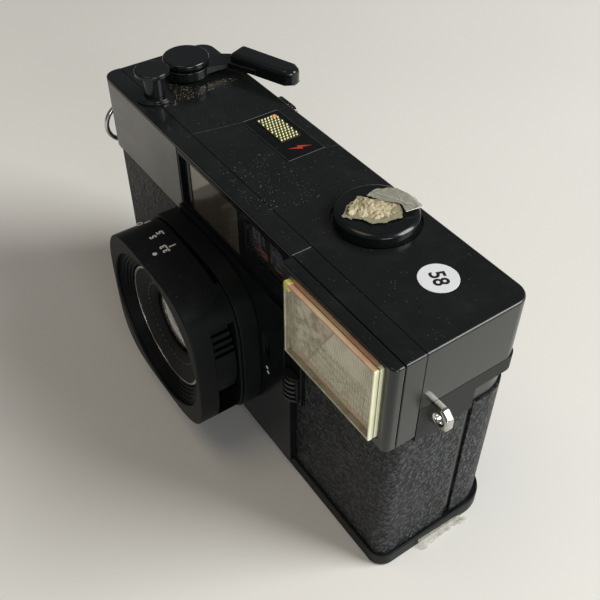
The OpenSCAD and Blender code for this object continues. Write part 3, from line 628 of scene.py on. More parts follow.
far = 200
edgeRules = {
    # where an edge of the run lies (lowest and highest corner) and the run's radius, later lines win
    "top_cover": [((-far, 15.9, 74.1), (far, far, far), 0.62), ((16, -6, 74.1), (39, 15.4, 74.3), 0.05)],
    "front_cover": [((-far, -far, 74.1), (far, -15.9, far), 0.35)],
    "flash_housing": [((62.4, -far, 73.5), (far, far, far), 0.55)],
    "base_cover": [((-far, -far, -1), (far, far, 0.2), 0.8)],
    "lens_shroud": [((-far, -far, -far), (far, -33.5, far), 0.4)],
    "advance_lever": [((-far, -far, 79.6), (far, far, far), 0.6), ((-far, -far, 76.5), (far, far, 77.3), 0.3)],
    "lever_tip": [((-far, -far, 77.25), (far, far, far), 1.3)],
    "release_button": [((-far, -far, 82), (far, far, far), 0.45)],
    "rewind_knob": [((-far, -far, 76.9), (far, far, far), 0.5)],
}
softNodes = {
    # body, slot and paint, then the edge radius of each node in mm
    ("camera", "moulded_black", "cover"): {
        "top_cover": 0.15, "front_cover": 0.25, "flash_bezel": 0.5, "flash_housing": 0.25, "eyepiece_frame": 0.3,
    },
    ("camera", "moulded_black", "shroud"): {
        "base_cover": 0.35, "lens_shroud": 0.22, "lens_mount": 0.22, "baffle_ring": 0.06,
    },
    ("camera", "gloss_black", "smooth"): {"front_panel": 0.12, "window_frame": 0.12, "lamp_plate": 0.06},
    ("camera", "moulded_black", "knob"): {"button_collar": 0.15},
    ("camera", "plate_grey", "plate"): {"nameplate": 0.06},
    ("camera", "bright_steel", "bright"): {"strap_lugs": 0.55},
    ("rewind", "moulded_black", "knob"): {"rewind_knob": 0.15},
    ("wind_lever", "moulded_black", "knob"): {"advance_lever": 0.18, "lever_tip": 0.15},
    ("button", "moulded_black", "knob"): {"release_button": 0.12},
    ("switch", "moulded_black", "cover"): {"flash_switch": 0.12},
    ("focus", "moulded_black", "shroud"): {"focus_ring": 0.12},
    ("lens_cell", "black_metal", "shroud"): {"name_ring": 0.05},
    ("lens_cell", "bright_steel", "bright"): {"trim_ring": 0.08},
    ("door", "moulded_black", "cover"): {"back_door": 0.3},
    ("battery_door", "moulded_black", "cover"): {"battery_lid": 0.2},
    ("camera", "leatherette", "leather"): {"body_leather": 0.12},
    ("door", "leatherette", "leather"): {"door_leather": 0.12},
}
for (body, slotName, paint), radii in softNodes.items():
    for nodeName, radius in radii.items():
        first, *others = nodeName.split("_")
        pieceName = first + "".join(word.capitalize() for word in others) + "Shell"
        keep(softened(nodeName, radius, edgeRules.get(nodeName, ())), pieceName, body, paint, [nodeName])
print("edges softened in", len(softNodes), "groups")

plainNodes = {
    "inside": [
        "body_chassis", "cassette_holder", "battery_holder", "shutter_housing",
        "takeup_spool", "sprocket", "lens_barrel", "finder_tube",
    ],
    "steel": [
        "tripod_bush", "case_screws", "button_spring", "hinge_pin",
        "latch_plate", "rewind_shaft", "rewind_release",
    ],
    "bright": ["strap_ring"],
    "darkMetal": ["pressure_plate", "shutter_blade_left", "shutter_blade_right"],
    "cell": ["battery_cells", "flash_capacitor"],
    "silvered": ["finder_window"],
    "clear": ["range_window"],
    "smoked": ["counter_window"],
    "lens": ["finder_lenses", "front_element", "rear_element", "flash_tube"],
    "reflector": ["flash_reflector"],
    "board": ["circuit_board"],
    # the lamp window under the bumps is dark olive: painted shade in the gaps between them
    "lampBase": ["lamp_window"],
    "dial": ["counter_dial"],
}
for paint, names in plainNodes.items():
    for nodeName in names:
        finishes = nodes[nodeName].data.materials
        for index in range(len(finishes)):
            finishes[index] = paints[paint]
        if not finishes:
            finishes.append(paints[paint])
print("plain nodes painted")


class Growth(Bench):
    # a Geometry Nodes tree with named inputs; grow() runs it on a host mesh and gives the plain mesh
    kinds = {float: "NodeSocketFloat", int: "NodeSocketInt", tuple: "NodeSocketVector"}

    def __init__(self, name, **sizes):
        super().__init__(bpy.data.node_groups.new(name, "GeometryNodeTree"))
        self.tree.is_modifier = True
        face = self.tree.interface
        face.new_socket("Geometry", in_out="OUTPUT", socket_type="NodeSocketGeometry")
        face.new_socket("Geometry", in_out="INPUT", socket_type="NodeSocketGeometry")
        self.ids = {"Paint": face.new_socket("Paint", in_out="INPUT", socket_type="NodeSocketMaterial").identifier}
        for key, value in sizes.items():
            item = face.new_socket(key, in_out="INPUT", socket_type=self.kinds[type(value)])
            item.default_value = value
            self.ids[key] = item.identifier
        self.start = self.tree.nodes.new("NodeGroupInput")
        self.end = self.tree.nodes.new("NodeGroupOutput")

    def size(self, name):
        return Wire(self, self.start.outputs[name])

    def close(self, shapes):
        real = self.node("GeometryNodeRealizeInstances", {}, {0: shapes})
        painted = self.node("GeometryNodeSetMaterial", {}, {"Geometry": real, "Material": self.size("Paint")})
        self.feed(self.end.inputs[0], painted)
        return self

    def grow(self, host, paint, **sizes):
        owner = placed(self.tree.name + "Host", host)
        modifier = owner.modifiers.new("growth", "NODES")
        modifier.node_group = self.tree
        for key, value in {"Paint": paints[paint], **sizes}.items():
            modifier[self.ids[key]] = value
        return settled(owner)


def makeRow():
    # the host shape repeated along a line
    row = Growth("ribRow", Count=4, Step=(0.0, 0.0, 0.001))
    steps = {"Count": row.size("Count"), "Offset": row.size("Step")}
    line = row.node("GeometryNodeMeshLine", {"mode": "OFFSET"}, steps)
    return row.close(row.node("GeometryNodeInstanceOnPoints", {}, {"Points": line, "Instance": row.size("Geometry")}))


def makeRing():
    # the host shape spaced round a circle and turned with it
    ring = Growth("markRing", Count=24, Radius=0.01)
    circle = ring.node("GeometryNodeMeshCircle", {}, {"Vertices": ring.size("Count"), "Radius": ring.size("Radius")})
    around = ring.node("GeometryNodeInputIndex") * (2 * math.pi)
    turn = ring.node("ShaderNodeCombineXYZ", {}, {"Z": around.math("DIVIDE", around, ring.size("Count"))})
    inputs = {"Points": circle, "Instance": ring.size("Geometry"), "Rotation": turn}
    return ring.close(ring.node("GeometryNodeInstanceOnPoints", {}, inputs))


def makeField():
    # the host shape on a grid whose every second column is shifted by half a step
    field = Growth("bumpField", Across=10, Along=5, Width=0.01, Depth=0.005, Shift=0.0005)
    sides = {"Size X": "Width", "Size Y": "Depth", "Vertices X": "Across", "Vertices Y": "Along"}
    grid = field.node("GeometryNodeMeshGrid", {}, {socket: field.size(name) for socket, name in sides.items()})
    place = field.node("GeometryNodeInputIndex") + 0.5
    column = place.math("DIVIDE", place, field.size("Along"))
    odd = column.math("MODULO", column.math("FLOOR", column), 2.0)
    move = field.node("ShaderNodeCombineXYZ", {}, {"Y": odd * field.size("Shift")})
    moved = field.node("GeometryNodeSetPosition", {}, {"Geometry": grid, "Offset": move})
    inputs = {"Points": moved, "Instance": field.size("Geometry")}
    return field.close(field.node("GeometryNodeInstanceOnPoints", {}, inputs))


def makeScatter():
    # small flat crumbs strewn over the host's faces
    strewn = Growth("strewnCrumbs", Density=20000.0, Seed=1, Small=0.0001, Large=0.0003)
    ground = {"Mesh": "Geometry", "Density": "Density", "Seed": "Seed"}
    inputs = {socket: strewn.size(name) for socket, name in ground.items()}
    spots = strewn.node("GeometryNodeDistributePointsOnFaces", {}, inputs)
    crumb = strewn.node("GeometryNodeMeshIcoSphere", {}, {"Radius": 1.0, "Subdivisions": 1})
    small, large = strewn.size("Small"), strewn.size("Large")
    least = strewn.node("ShaderNodeCombineXYZ", {}, {0: small, 1: small, 2: small * 0.4})
    most = strewn.node("ShaderNodeCombineXYZ", {}, {0: large * 1.8, 1: large, 2: large * 0.5})
    vectors = {"data_type": "FLOAT_VECTOR"}
    scale = strewn.node("FunctionNodeRandomValue", vectors, {0: least, 1: most, 8: strewn.size("Seed")})
    turn = strewn.node("FunctionNodeRandomValue", vectors, {0: (-0.4, -0.4, 0.0), 1: (0.4, 0.4, 6.28), 8: 7})
    inputs = {"Points": spots, "Instance": crumb, "Rotation": turn, "Scale": scale}
    return strewn.close(strewn.node("GeometryNodeInstanceOnPoints", {}, inputs))


rowOf, ringOf, fieldOf, crumbsOn = makeRow(), makeRing(), makeField(), makeScatter()


def patch(points, z):
    # a flat polygon in mm, as a host for crumbs
    mesh = bpy.data.meshes.new("patch")
    mesh.from_pydata([(x * mm, y * mm, z * mm) for x, y in points], [], [tuple(range(len(points)))])
    return mesh


def slab(low, high, radius=0.1, segments=2):
    # a plate between two corners in mm, its edges rounded
    shape = bmesh.new()
    bmesh.ops.create_cube(shape, size=1)
    for corner in shape.verts:
        for axis in range(3):
            middle, side = (low[axis] + high[axis]) / 2, high[axis] - low[axis]
            corner.co[axis] = (middle + corner.co[axis] * side) * mm
    bmesh.ops.bevel(shape, geom=shape.edges, offset=radius * mm, segments=segments, profile=0.5, affect="EDGES")
    return shape


def trail(points, radius):
    # a thin round line through points in mm
    curve = bpy.data.curves.new("line", "CURVE")
    curve.dimensions = "3D"
    curve.bevel_depth = radius * mm
    curve.bevel_resolution = 1
    curve.use_fill_caps = True
    line = curve.splines.new("POLY")
    line.points.add(len(points) - 1)
    for knot, point in zip(line.points, points):
        knot.co = (*(Vector(point) * mm), 1)
    return settled(placed("line", curve))


def at(x, y, z):
    # a move to a place in mm
    return Matrix.Translation(Vector((x, y, z)) * mm)


def meshOf(shape, move=None):
    mesh = bpy.data.meshes.new("shape")
    if move is not None:
        shape.transform(move)
    bmesh.ops.recalc_face_normals(shape, faces=shape.faces)
    shape.to_mesh(mesh)
    shape.free()
    return mesh


def together(shapes):
    # several bmeshes or meshes as one mesh
    whole = bmesh.new()
    for shape in shapes:
        part = shape
        if isinstance(shape, bmesh.types.BMesh):
            part = bpy.data.meshes.new("part")
            shape.to_mesh(part)
            shape.free()
        whole.from_mesh(part)
    bmesh.ops.remove_doubles(whole, verts=whole.verts, dist=0.0000002)
    return meshOf(whole)


def walled(mesh, thick):
    # a sheet given its thickness in mm, downwards
    owner = placed("sheet", mesh)
    wall = owner.modifiers.new("wall", "SOLIDIFY")
    wall.thickness = thick * mm
    wall.offset = -1
    return settled(owner)


def flake(outline, rest, step, rise, thick, rag, seed, tilt=(0, 0), swell=0.0):
    # a torn crumpled flake over an outline, all in mm; swell lifts its middle
    dice = random.Random(seed)
    rim = []
    for (x0, y0), (x1, y1) in zip(outline, outline[1:] + outline[:1]):
        count = max(1, round(math.hypot(x1 - x0, y1 - y0) / step))
        for index in range(count):
            x, y = x0 + (x1 - x0) * index / count, y0 + (y1 - y0) * index / count
            coarse = noise.noise_vector(Vector((x * 1.7, y * 1.7, seed)))
            torn = coarse * rag + noise.noise_vector(Vector((x * 6, y * 6, seed))) * rag * 0.4
            rim.append(Vector((x + torn.x, y + torn.y)))
    xs, ys = [point.x for point in rim], [point.y for point in rim]
    left, front = min(xs), min(ys)
    spots = list(rim)
    for i in range(int((max(xs) - left) / step)):
        for j in range(int((max(ys) - front) / step)):
            x = left + (i + 0.5 + dice.uniform(-0.3, 0.3)) * step
            spots.append(Vector((x, front + (j + 0.5 + dice.uniform(-0.3, 0.3)) * step)))
    flat = geometry.delaunay_2d_cdt(spots, [], [list(range(len(rim)))], 1, 0.0001)
    points = []
    for spot in flat[0]:
        place = Vector((spot.x * 0.5, spot.y * 0.5, seed * 3.7))
        high = noise.noise(place) * 0.6 + abs(noise.noise(place * 2.3)) * 0.7 + noise.noise(place * 5.1) * 0.25
        middle = min(1, min((spot - point).length for point in rim) / 2.5) * swell
        lean = (spot.x - left) * tilt[0] + (spot.y - front) * tilt[1]
        z = rest + max(0, high * rise + rise * 0.35 + middle) + lean
        points.append((spot.x * mm, spot.y * mm, z * mm))
    mesh = bpy.data.meshes.new("flake")
    mesh.from_pydata(points, [], [tuple(face) for face in flat[2]])
    return walled(mesh, thick)


def lettering(text, size, place, turn, name, paint, squeeze=1.0, weight=0.0):
    # figures as a thin raised print: place is their middle, turn is about the vertical
    curve = bpy.data.curves.new(name, "FONT")
    curve.body = text
    curve.size = size
    curve.align_x = "CENTER"
    curve.align_y = "CENTER"
    curve.extrude = 0.015 * mm
    curve.offset = weight
    mesh = together([settled(placed(name + "Curve", curve))])
    mesh.transform(Matrix.Translation(place) @ Matrix.Rotation(turn, 4, "Z") @ Matrix.Diagonal((squeeze, 1, 1, 1)))
    keep(mesh, name, "camera", paint, smooth=False)


def stacked(rims):
    # a closed form from rims of points in metres, one above the other
    shape = bmesh.new()
    rims = [[shape.verts.new(point) for point in rim] for rim in rims]
    for low, high in zip(rims, rims[1:]):
        for step in range(len(low)):
            after = (step + 1) % len(low)
            shape.faces.new((low[step], low[after], high[after], high[step]))
    shape.faces.new(rims[-1])
    shape.faces.new(list(reversed(rims[0])))
    return shape


def disc(radius, thick, steps, wobble=0.0, seed=1):
    # a thin round with a slightly uneven edge
    rims = []
    for level, scale in ((0, 1.0), (thick * 0.6, 1.0), (thick, 0.985)):
        ring = []
        for step in range(steps):
            angle = 2 * math.pi * step / steps
            uneven = noise.noise(Vector((math.cos(angle) * 2, math.sin(angle) * 2, seed)))
            reach = radius * scale * (1 + wobble * uneven)
            ring.append((reach * math.cos(angle), reach * math.sin(angle), level))
        rims.append(ring)
    return stacked(rims)


sticker = {
    "radius": 4.2,
    "thick": 0.09,
    "at": (48.5, 3.9, 74.2),
    "uneven": 0.012,
    "figures": "58",
    "height": 4.6,
    "turn": -20,
    "shift": (0.1, -0.1, 0.1),
}
paper = disc(sticker["radius"] * mm, sticker["thick"] * mm, 64, sticker["uneven"], 3)
keep(meshOf(paper, at(*sticker["at"])), "stickerDisc", "camera", "paper", smooth=False)
middle = (Vector(sticker["at"]) + Vector(sticker["shift"])) * mm
figures, height, turn = sticker["figures"], sticker["height"] * mm, math.radians(sticker["turn"])
lettering(figures, height, middle, turn, "stickerFigures", "ink", 0.9, 0.0001)

# distance figures on top of the shroud, read from behind
shroudFigures = {
    "z": 55.1,
    "size": 2.35,
    "rows": [
        ("3.3", -10.6, -27.1), ("1", -10.6, -25.0), ("5", -16.2, -27.3),
        ("1.5", -16.0, -25.2), ("10", -24.4, -26.9), ("3", -24.2, -24.9),
    ],
    "dot": (-10.2, -30.0, 0.55),
}
shroudMesh = nodes["lens_shroud"].data
shroudTree = BVHTree.FromPolygons([v.co for v in shroudMesh.vertices], [tuple(f.vertices) for f in shroudMesh.polygons])


def topOfShroud(x, y):
    # height of the shroud's outer face above a point, from the CAD mesh
    hit = shroudTree.ray_cast(Vector((x * mm, y * mm, 0.2)), Vector((0, 0, -1)))[0]
    return hit.z / mm if hit else shroudFigures["z"]


for text, x, y in shroudFigures["rows"]:
    middle = Vector((x, y, topOfShroud(x, y) + 0.01)) * mm
    name = "figure_" + text.replace(".", "_")
    lettering(text, shroudFigures["size"] * mm, middle, math.pi, name, "whiteInk", weight=0.00009)
x, y, radius = shroudFigures["dot"]
dot = meshOf(disc(radius * mm, 0.03 * mm, 24), at(x, y, topOfShroud(x, y) - 0.005))
keep(dot, "indexDot", "camera", "whiteInk", smooth=False)
print("figures printed")


def frameOf(low, high, y0, y1, wide, radius=0.12):
    # four bars around a rectangle in x and z
    (x0, z0), (x1, z1) = low, high
    return [
        slab((x0, y0, z0), (x0 + wide, y1, z1), radius),
        slab((x1 - wide, y0, z0), (x1, y1, z1), radius),
        slab((x0 + wide * 0.6, y0, z0), (x1 - wide * 0.6, y1, z0 + wide), radius),
        slab((x0 + wide * 0.6, y0, z1 - wide), (x1 - wide * 0.6, y1, z1), radius),
    ]


def wander(start, end, steps, swing, seed, y):
    # a crack: a line from start to end in x and z that strays to both sides
    dice = random.Random(seed)
    points = []
    for step in range(steps + 1):
        share = step / steps
        x = start[0] + (end[0] - start[0]) * share + dice.uniform(-swing, swing)
        z = start[1] + (end[1] - start[1]) * share + dice.uniform(-swing, swing)
        points.append((x, y + dice.uniform(-0.03, 0.03), z))
    return points


def flashPiece(mesh, name, paint, *stands):
    keep(mesh, name, "camera", paint, stands)


flashParts = {
    "low": (30.6, -20.6, 52.5),
    "high": (59.6, -17.2, 72.7),
    "paneThick": 1.0,
    "rim": 0.55,
    "wall": 1.1,
    "sides": ("Left", "Right", "Foot", "Top"),
}
(x0, y0, z0), (x1, y1, z1) = flashParts["low"], flashParts["high"]
rim, corners = flashParts["rim"], ((x0, z0), (x1, z1))
pane = slab((x0 + rim, y0, z0 + rim), (x1 - rim, y0 + flashParts["paneThick"], z1 - rim), 0.15, 3)
flashPiece(meshOf(pane), "flashPane", "flashCap", "flash_window")
flashFrames = {
    # front, back, width and the paints of the four sides
    # the right sides take the painted glow: painted light along that edge
    "flashRim": (y0 + 0.05, y0 + 1.25, rim, ("pale", "glow", "pale", "salmon")),
    "flashWall": (y0 + 1.45, y1, flashParts["wall"], ("olive", "glow", "olive", "salmon")),
}
for name, (front, back, wide, sidePaints) in flashFrames.items():
    for bar, side, paint in zip(frameOf(*corners, front, back, wide, 0.2), flashParts["sides"], sidePaints):
        flashPiece(meshOf(bar), name + side, paint)
shadow = frameOf((x0 + 0.15, z0 + 0.15), (x1 - 0.15, z1 - 0.15), y0 + 1.2, y0 + 1.5, 0.5, 0.04)
flashPiece(together(shadow), "flashShadowLine", "brownLine")

footHeights = (0.75, 1.3, 1.9, 2.4)
footLines = [((x0 + 1.3, y0 + 1.1, z0 + z), (x1 - 1.3, y0 + 1.35, z0 + z + 0.2), 0.05) for z in footHeights]
flashPlates = {
    # paint, then the corners, edge radius and edge steps of each slab
    "flashCorner": ("amber", [((x0 - 0.1, y0 + 0.02, z1 - 1.9), (x0 + 1.9, y0 + 1.6, z1 + 0.04), 0.35, 3)]),
    "flashTopStrip": ("olive", [((x0 + 1.6, y0 + 1.1, z1 - 1.5), (x1 - 1.2, y0 + 1.6, z1 - 0.95), 0.1)]),
    "flashFootLines": ("salmon", footLines),
    "flashLensSheet": ("flashLens", [((x0 + 1.15, y0 + 1.18, z0 + 1.1), (x1 - 1.12, y0 + 1.28, z1 - 1.12), 0.03)]),
}
for name, (paint, slabs) in flashPlates.items():
    flashPiece(together([slab(*one) for one in slabs]), name, paint)

flashRows = {
    # paint, count, step, then the corners and edge radius of one bar
    "flashEndRibs": ("pale", 5, (0.48, 0, 0), (x0 + 0.8, y0 + 0.92, z0 + 1.4), (x0 + 0.98, y0 + 1.12, z1 - 1.9), 0.05),
    "flashRibs": ("pale", 20, (0.95, 0, 0.05), (x0 + 7.5, y0 + 0.92, z0 + 1.6), (x0 + 7.6, y0 + 1.06, z0 + 11.0), 0.03),
    "flashBars": ("thread", 5, (0, 0, 1.9), (x0 + 8.0, y0 + 0.95, z0 + 3.0), (x1 - 1.6, y0 + 1.06, z0 + 3.1), 0.03),
}
for name, (paint, count, step, low, high, radius) in flashRows.items():
    bars = rowOf.grow(meshOf(slab(low, high, radius)), paint, Count=count, Step=tuple(value * mm for value in step))
    flashPiece(bars, name, paint)

flashLines = {
    # paint, radius, depth, then the start, end, steps, swing and seed of each line
    "flashCracks": ("crack", 0.085, y0 + 1.12, [
        ((44.5, 56.0), (55.5, 63.5), 9, 0.7, 4), ((48.5, 54.8), (52.0, 62.0), 8, 0.6, 9),
        ((35.5, 60.6), (45, 64.0), 7, 0.35, 2), ((41, 66.0), (44, 61.6), 6, 0.4, 6),
        ((43.0, 56.6), (48, 55.2), 6, 0.5, 12), ((34.5, 68.8), (38.5, 66.2), 5, 0.3, 31),
        ((34.2, 57.4), (37.2, 61.6), 5, 0.3, 33),
    ]),
    "flashCreases": ("brownLine", 0.07, -16.9, [
        ((33, 70.0), (40, 64.5), 6, 0.3, 21), ((33, 55.5), (37.5, 62.0), 6, 0.2, 22),
        ((40.5, 64.5), (57, 64.9), 6, 0.12, 23), ((37.5, 62.0), (57, 56.0), 5, 0.15, 24),
    ]),
}
for name, (paint, radius, depth, lines) in flashLines.items():
    flashPiece(together([trail(wander(*line, depth), radius) for line in lines]), name, paint)
print("flash dressed")

prisms = {
    # lowest and highest corner of each plate, in x and z
    "bluePrism": [((9.6, 64.6), (12.6, 71.0)), ((17.2, 64.8), (22.6, 70.4)), ((13.4, 66.4), (14.3, 69.4))],
    "redPrism": [((9.9, 64.0), (12.2, 66.9)), ((12.7, 63.6), (15.4, 65.4)), ((18.2, 63.4), (21.4, 64.5))],
}
for paint, boxes in prisms.items():
    plates = []
    for index, ((left, low), (right, high)) in enumerate(boxes):
        plates.append(slab((left, -14.62 + 0.03 * index, low), (right, -14.4, high), 0.07))
    keep(together(plates), paint + "s", "camera", paint)
prismBars = frameOf((17.0, 64.6), (22.8, 70.6), -14.75, -14.6, 0.22, 0.04)
keep(together(prismBars), "prismFrame", "camera", "seam")

# worn marks round the plain ring before the lens, and notches round its mouth
ringMarks = {
    "centre": (-8.6, 32.5),
    "turn": 28.5,
    # count, radius, depth, length, width and paint
    "rows": [(44, 11.6, -29.50, 0.9, 0.30, "pale"), (60, 9.75, -28.55, 0.6, 0.22, "darkMetal")],
}
for index, (count, radius, y, long, wide, paint) in enumerate(ringMarks["rows"]):
    mark = slab((-long / 2, -wide / 2, -0.03), (long / 2, wide / 2, 0.03), 0.01, 1)
    mark.transform(Matrix.Rotation(math.radians(ringMarks["turn"]), 4, "Y"))
    marks = ringOf.grow(meshOf(mark), paint, Count=count, Radius=radius * mm)
    x, z = ringMarks["centre"]
    marks.transform(at(x, y, z) @ Matrix.Rotation(math.radians(90), 4, "X"))
    keep(marks, "ringMarks" + str(index), "lens_cell", paint)
print("windows and lens ring dressed")

lampLook = {
    "across": 11,
    "along": 6,
    "width": 10.0,
    "depth": 4.4,
    "shift": 0.44,
    "centre": (-13.6, 7.45, 74.40),
    "bump": 0.44,
    "turn": -38,
    "squash": (1.0, 0.62, 0.7, 1),
    "corner": ((-19.1, 8.9, 74.3), (-17.9, 10.3, 74.62)),
}
bump = bmesh.new()
bmesh.ops.create_icosphere(bump, subdivisions=2, radius=lampLook["bump"] * mm)
bump.transform(Matrix.Rotation(math.radians(lampLook["turn"]), 4, "Z") @ Matrix.Diagonal(lampLook["squash"]))
sizes = {key.capitalize(): lampLook[key] * mm for key in ("width", "depth", "shift")}
bumps = fieldOf.grow(meshOf(bump), "lamp", Across=lampLook["across"], Along=lampLook["along"], **sizes)
bumps.transform(at(*lampLook["centre"]))
keep(bumps, "lampBumps", "camera", "lamp")
keep(meshOf(slab(*lampLook["corner"], 0.15)), "lampCorner", "camera", "orange")

plateMarks = {
    "bolt": [(-4.9, 4.6), (-3.0, 7.6), (-3.75, 7.75), (-3.1, 10.2), (-4.95, 7.1), (-4.2, 6.95)],
    "boltZ": (74.31, 74.34),
    # radius and height of the lines, then the lines
    "plateEdging": (0.09, 74.29, [[(-20.75, 1.95), (-0.65, 1.95), (-0.65, 12.05), (-20.75, 12.05), (-20.75, 1.95)]]),
    "plateSeams": (0.05, 74.18, [[(-20.8, 1.9), (-23.2, -10.7)], [(-0.6, 12.1), (0.4, 15.5)]]),
}
bolt = stacked([[(x * mm, y * mm, z * mm) for x, y in plateMarks["bolt"]] for z in plateMarks["boltZ"]])
keep(meshOf(bolt), "boltMark", "camera", "redInk", smooth=False)
for name in ("plateEdging", "plateSeams"):
    radius, z, lines = plateMarks[name]
    strokes = [trail([(*a, z), (*b, z)], radius) for line in lines for a, b in zip(line, line[1:])]
    keep(together(strokes), name, "camera", "seam")

# the two white dots beside the switch
panelDots = {"radius": 0.5, "thick": 0.03, "y": -17.0, "places": [(17.4, 32.1), (17.8, 30.7)]}
dots = []
for x, z in panelDots["places"]:
    dot = disc(panelDots["radius"] * mm, panelDots["thick"] * mm, 20)
    dot.transform(at(x, panelDots["y"], z) @ Matrix.Rotation(math.radians(90), 4, "X"))
    dots.append(dot)
keep(together(dots), "panelDots", "camera", "whiteInk", smooth=False)
print("top plate and panel marked")

knobFlakes = {
    # slot, paint, then rest height, step, rise, thickness, rag, seed, tilt and swell, then the outline
    "knobGlue": ("dial_white", "glueSheet", (77.12, 0.4, 0.25, 0.12, 0.35, 5, (0.02, 0.01)), [
        (25.7, -2.6), (23.1, 0.6), (21.8, 4.8), (23.8, 5.9), (29.0, 10.0),
        (33.0, 7.5), (32.0, 3.0), (31.0, 1.1), (28.7, 0.3), (27.6, -1.0),
    ]),
    "knobResidue": ("dial_white", "residue", (77.2, 0.26, 0.75, 0.4, 0.6, 6, (0, 0), 0.55), [
        (24.6, 0.0), (22.8, 3.6), (23.6, 5.2), (25.6, 6.4), (28.6, 9.0),
        (31.6, 7.4), (30.6, 3.0), (28.4, 0.9), (26.0, -1.2),
    ]),
    "knobFilm": ("clear_window", "film", (77.3, 0.6, 0.3, 0.1, 0.3, 8, (0.05, 0.03)), [
        (22.7, 6.0), (22.2, 8.8), (24.4, 12.5), (29.8, 13.4), (33.2, 12.7), (32.2, 8.9), (29.6, 9.8), (26.0, 7.4),
    ]),
}
for name, (slotName, paint, torn, outline) in knobFlakes.items():
    keep(flake(outline, *torn), name, "rewind", paint, smooth=name != "knobFilm")
filmLines = {
    # radius, then the lines
    "knobFilmRim": (0.09, [[(32.2, 8.9, 77.85), (32.7, 10.8, 78.0), (33.2, 12.7, 78.1)]]),
    "knobFilmCreases": (0.06, [
        [(23.6, 8.0, 77.6), (26.5, 9.4, 77.8), (31.9, 11.4, 78.15)],
        [(25.4, 11.8, 77.75), (28.6, 10.6, 77.9), (32.4, 10.3, 78.1)],
    ]),
}
for name, (radius, lines) in filmLines.items():
    keep(together([trail(line, radius) for line in lines]), name, "rewind", "filmEdge")

crumbs = {
    # paint, height in mm, crumbs to the square metre, seed, largest crumb in metres, then the outline
    "goldenGrit": ("grit", 74.22, 1.9e6, 4, 0.00014, [
        (-47.6, -4.7), (-43.5, -5.0), (-39.5, -7.0), (-38.2, -10.5), (-36.6, -8), (-38.2, 0), (-38.8, 6),
        (-39.4, 12), (-41.2, 11), (-42.0, 4), (-42.6, -0.6), (-46, -2.6),
    ]),
    "topLint": ("lint", 74.21, 6e4, 11, 0.0001, [(-60, -14), (26, -14), (26, 15), (-34, 15), (-60, 12)]),
    "middleLint": ("lint", 74.21, 5e5, 21, 0.00014, [(-7, -13.5), (14, -13.5), (14, 0.5), (2, 1.2), (-7, 0.5)]),
    "endLint": ("lint", 74.21, 3e4, 31, 0.0001, [(28, -14), (60, -14), (60, 14), (38.5, 14), (38.5, -5), (28, -6)]),
}
for name, (paint, z, density, seed, large, outline) in crumbs.items():
    lying = crumbsOn.grow(patch(outline, z), paint, Density=density, Seed=seed, Small=0.00003, Large=large)
    keep(lying, name, "camera", paint, smooth=False)

tapeShape = {"along": (-3.6, 9.8), "wallX": 62.35, "outX": 64.6, "wallZ": 2.6, "steps": (40, 7), "thick": 0.06}
alongSteps, downSteps = tapeShape["steps"]
front, back = tapeShape["along"]
strip = bmesh.new()
grid = []
for i in range(alongSteps + 1):
    line = []
    for j in range(downSteps + 1):
        u, v = i / alongSteps, j / downSteps
        ragged = 0.75 + 0.5 * abs(noise.noise(Vector((u * 5, 0, 3)))) - 0.35 * u
        crease = noise.noise(Vector((u * 7, v * 5, 1))) * 0.35 + abs(noise.noise(Vector((u * 4, v * 9, 4)))) * 0.35
        x = tapeShape["wallX"] + (tapeShape["outX"] - tapeShape["wallX"]) * ragged * v + crease * 0.25
        y = front + (back - front) * u + noise.noise(Vector((u * 3, v * 4, 8))) * 0.6
        z = max(0.08, (tapeShape["wallZ"] - 1.1 * u) * (1 - v) ** 1.4 + crease)
        line.append(strip.verts.new(Vector((x, y, z)) * mm))
    grid.append(line)
for one, other in zip(grid, grid[1:]):
    for j in range(downSteps):
        strip.faces.new((one[j], other[j], other[j + 1], one[j + 1]))
sheet = bpy.data.meshes.new("tapeStrip")
strip.to_mesh(sheet)
strip.free()
keep(walled(sheet, tapeShape["thick"]), "tapeScrap", "camera", "tape")

tuft = {"fibres": 9, "radius": 0.05, "seed": 17, "root": (62.6, 9.3)}
dice = random.Random(tuft["seed"])
fibres = []
for index in range(tuft["fibres"]):
    rootX, rootY = tuft["root"]
    x, y, z = rootX + dice.uniform(0, 1.4), rootY + dice.uniform(-1.2, 0.2), dice.uniform(0.3, 1.6)
    endX, endY, endZ = x + dice.uniform(0.1, 1.0), y + dice.uniform(0.5, 1.9), max(0.1, z + dice.uniform(-0.6, 0.5))
    middle = ((x + endX) / 2 + dice.uniform(-0.2, 0.2), (y + endY) / 2 + dice.uniform(-0.2, 0.2), (z + endZ) / 2 + 0.15)
    fibres.append(trail([(x, y, z), middle, (endX, endY, endZ)], tuft["radius"]))
keep(together(fibres), "tapeTuft", "camera", "pale")
print("residue, grit and tape laid")

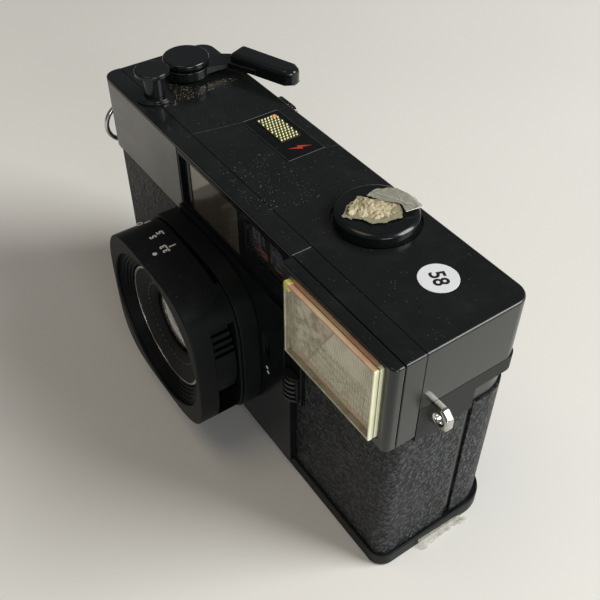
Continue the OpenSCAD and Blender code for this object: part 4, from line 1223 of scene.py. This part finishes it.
view = {
    "place": (0.12906, -0.08456, 0.18162),
    "forward": (-0.58955, 0.40769, -0.69729),
    "roll": 0.09,
    "lens": 48.87,
    "sensor": 36,
    "nearest": 0.005,
}
cameraData = bpy.data.cameras.new("viewpoint")
cameraData.lens = view["lens"]
cameraData.sensor_width = view["sensor"]
cameraData.clip_start = view["nearest"]
scene.camera = placed("viewpoint", cameraData)


def facing(where, way):
    # a lamp's or camera's place and turn, looking along a way
    return Matrix.Translation(where) @ way.to_track_quat("-Z", "Y").to_matrix().to_4x4()


rolled = Matrix.Rotation(math.radians(view["roll"]), 4, "Z")
scene.camera.matrix_world = facing(view["place"], Vector(view["forward"])) @ rolled

lamps = {
    # from, aimed at, size across, size up, power, colour
    "windowKey": ((0.78, 0.78, 0.80), (0, 0, 0.03), 0.75, 0.75, 21.5, (1.0, 0.995, 0.96)),
    "sideFill": ((0.95, -0.20, 0.30), (0, 0, 0.03), 0.4, 0.3, 3.0, (1.0, 0.99, 0.97)),
    "ceiling": ((-0.15, -0.45, 1.35), (-0.03, -0.1, 0), 0.7, 0.6, 2.8, (1.0, 0.82, 0.60)),
}
for name, (where, aim, across, up, power, colour) in lamps.items():
    data = bpy.data.lights.new(name, "AREA")
    data.shape = "RECTANGLE"
    data.size, data.size_y = across, up
    data.energy = power
    data.color = colour
    placed(name, data).matrix_world = facing(where, Vector(aim) - Vector(where))

room = {"colour": (0.94, 0.97, 1.0), "strength": 0.12}
world = bpy.data.worlds.new("room")
scene.world = world
world.use_nodes = True
backdrop = world.node_tree.nodes["Background"]
backdrop.inputs["Color"].default_value = (*room["colour"], 1)
backdrop.inputs["Strength"].default_value = room["strength"]

floorLook = {"tone": (0.80, 0.795, 0.77), "patch": (0.76, 0.755, 0.73), "half": 1.6}
half = floorLook["half"]
floorMesh = bpy.data.meshes.new("tableTop")
floorMesh.from_pydata([(-half, -half, 0), (half, -half, 0), (half, half, 0), (-half, half, 0)], [], [(0, 1, 2, 3)])
surface = Finish("tablePaint", Roughness=0.55, Specular_IOR_Level=0.25)
surface.set("Base Color", surface.mix(floorLook["tone"], floorLook["patch"], surface.cloud(6, 3).ramp(0.35, 0.7)))
surface.bump(surface.cloud(900, 2), 0.00003, 0.25)
floorMesh.materials.append(surface.material)
placed("tableTop", floorMesh)
scene.view_settings.view_transform = "Standard"
print("camera, lamps and floor set")
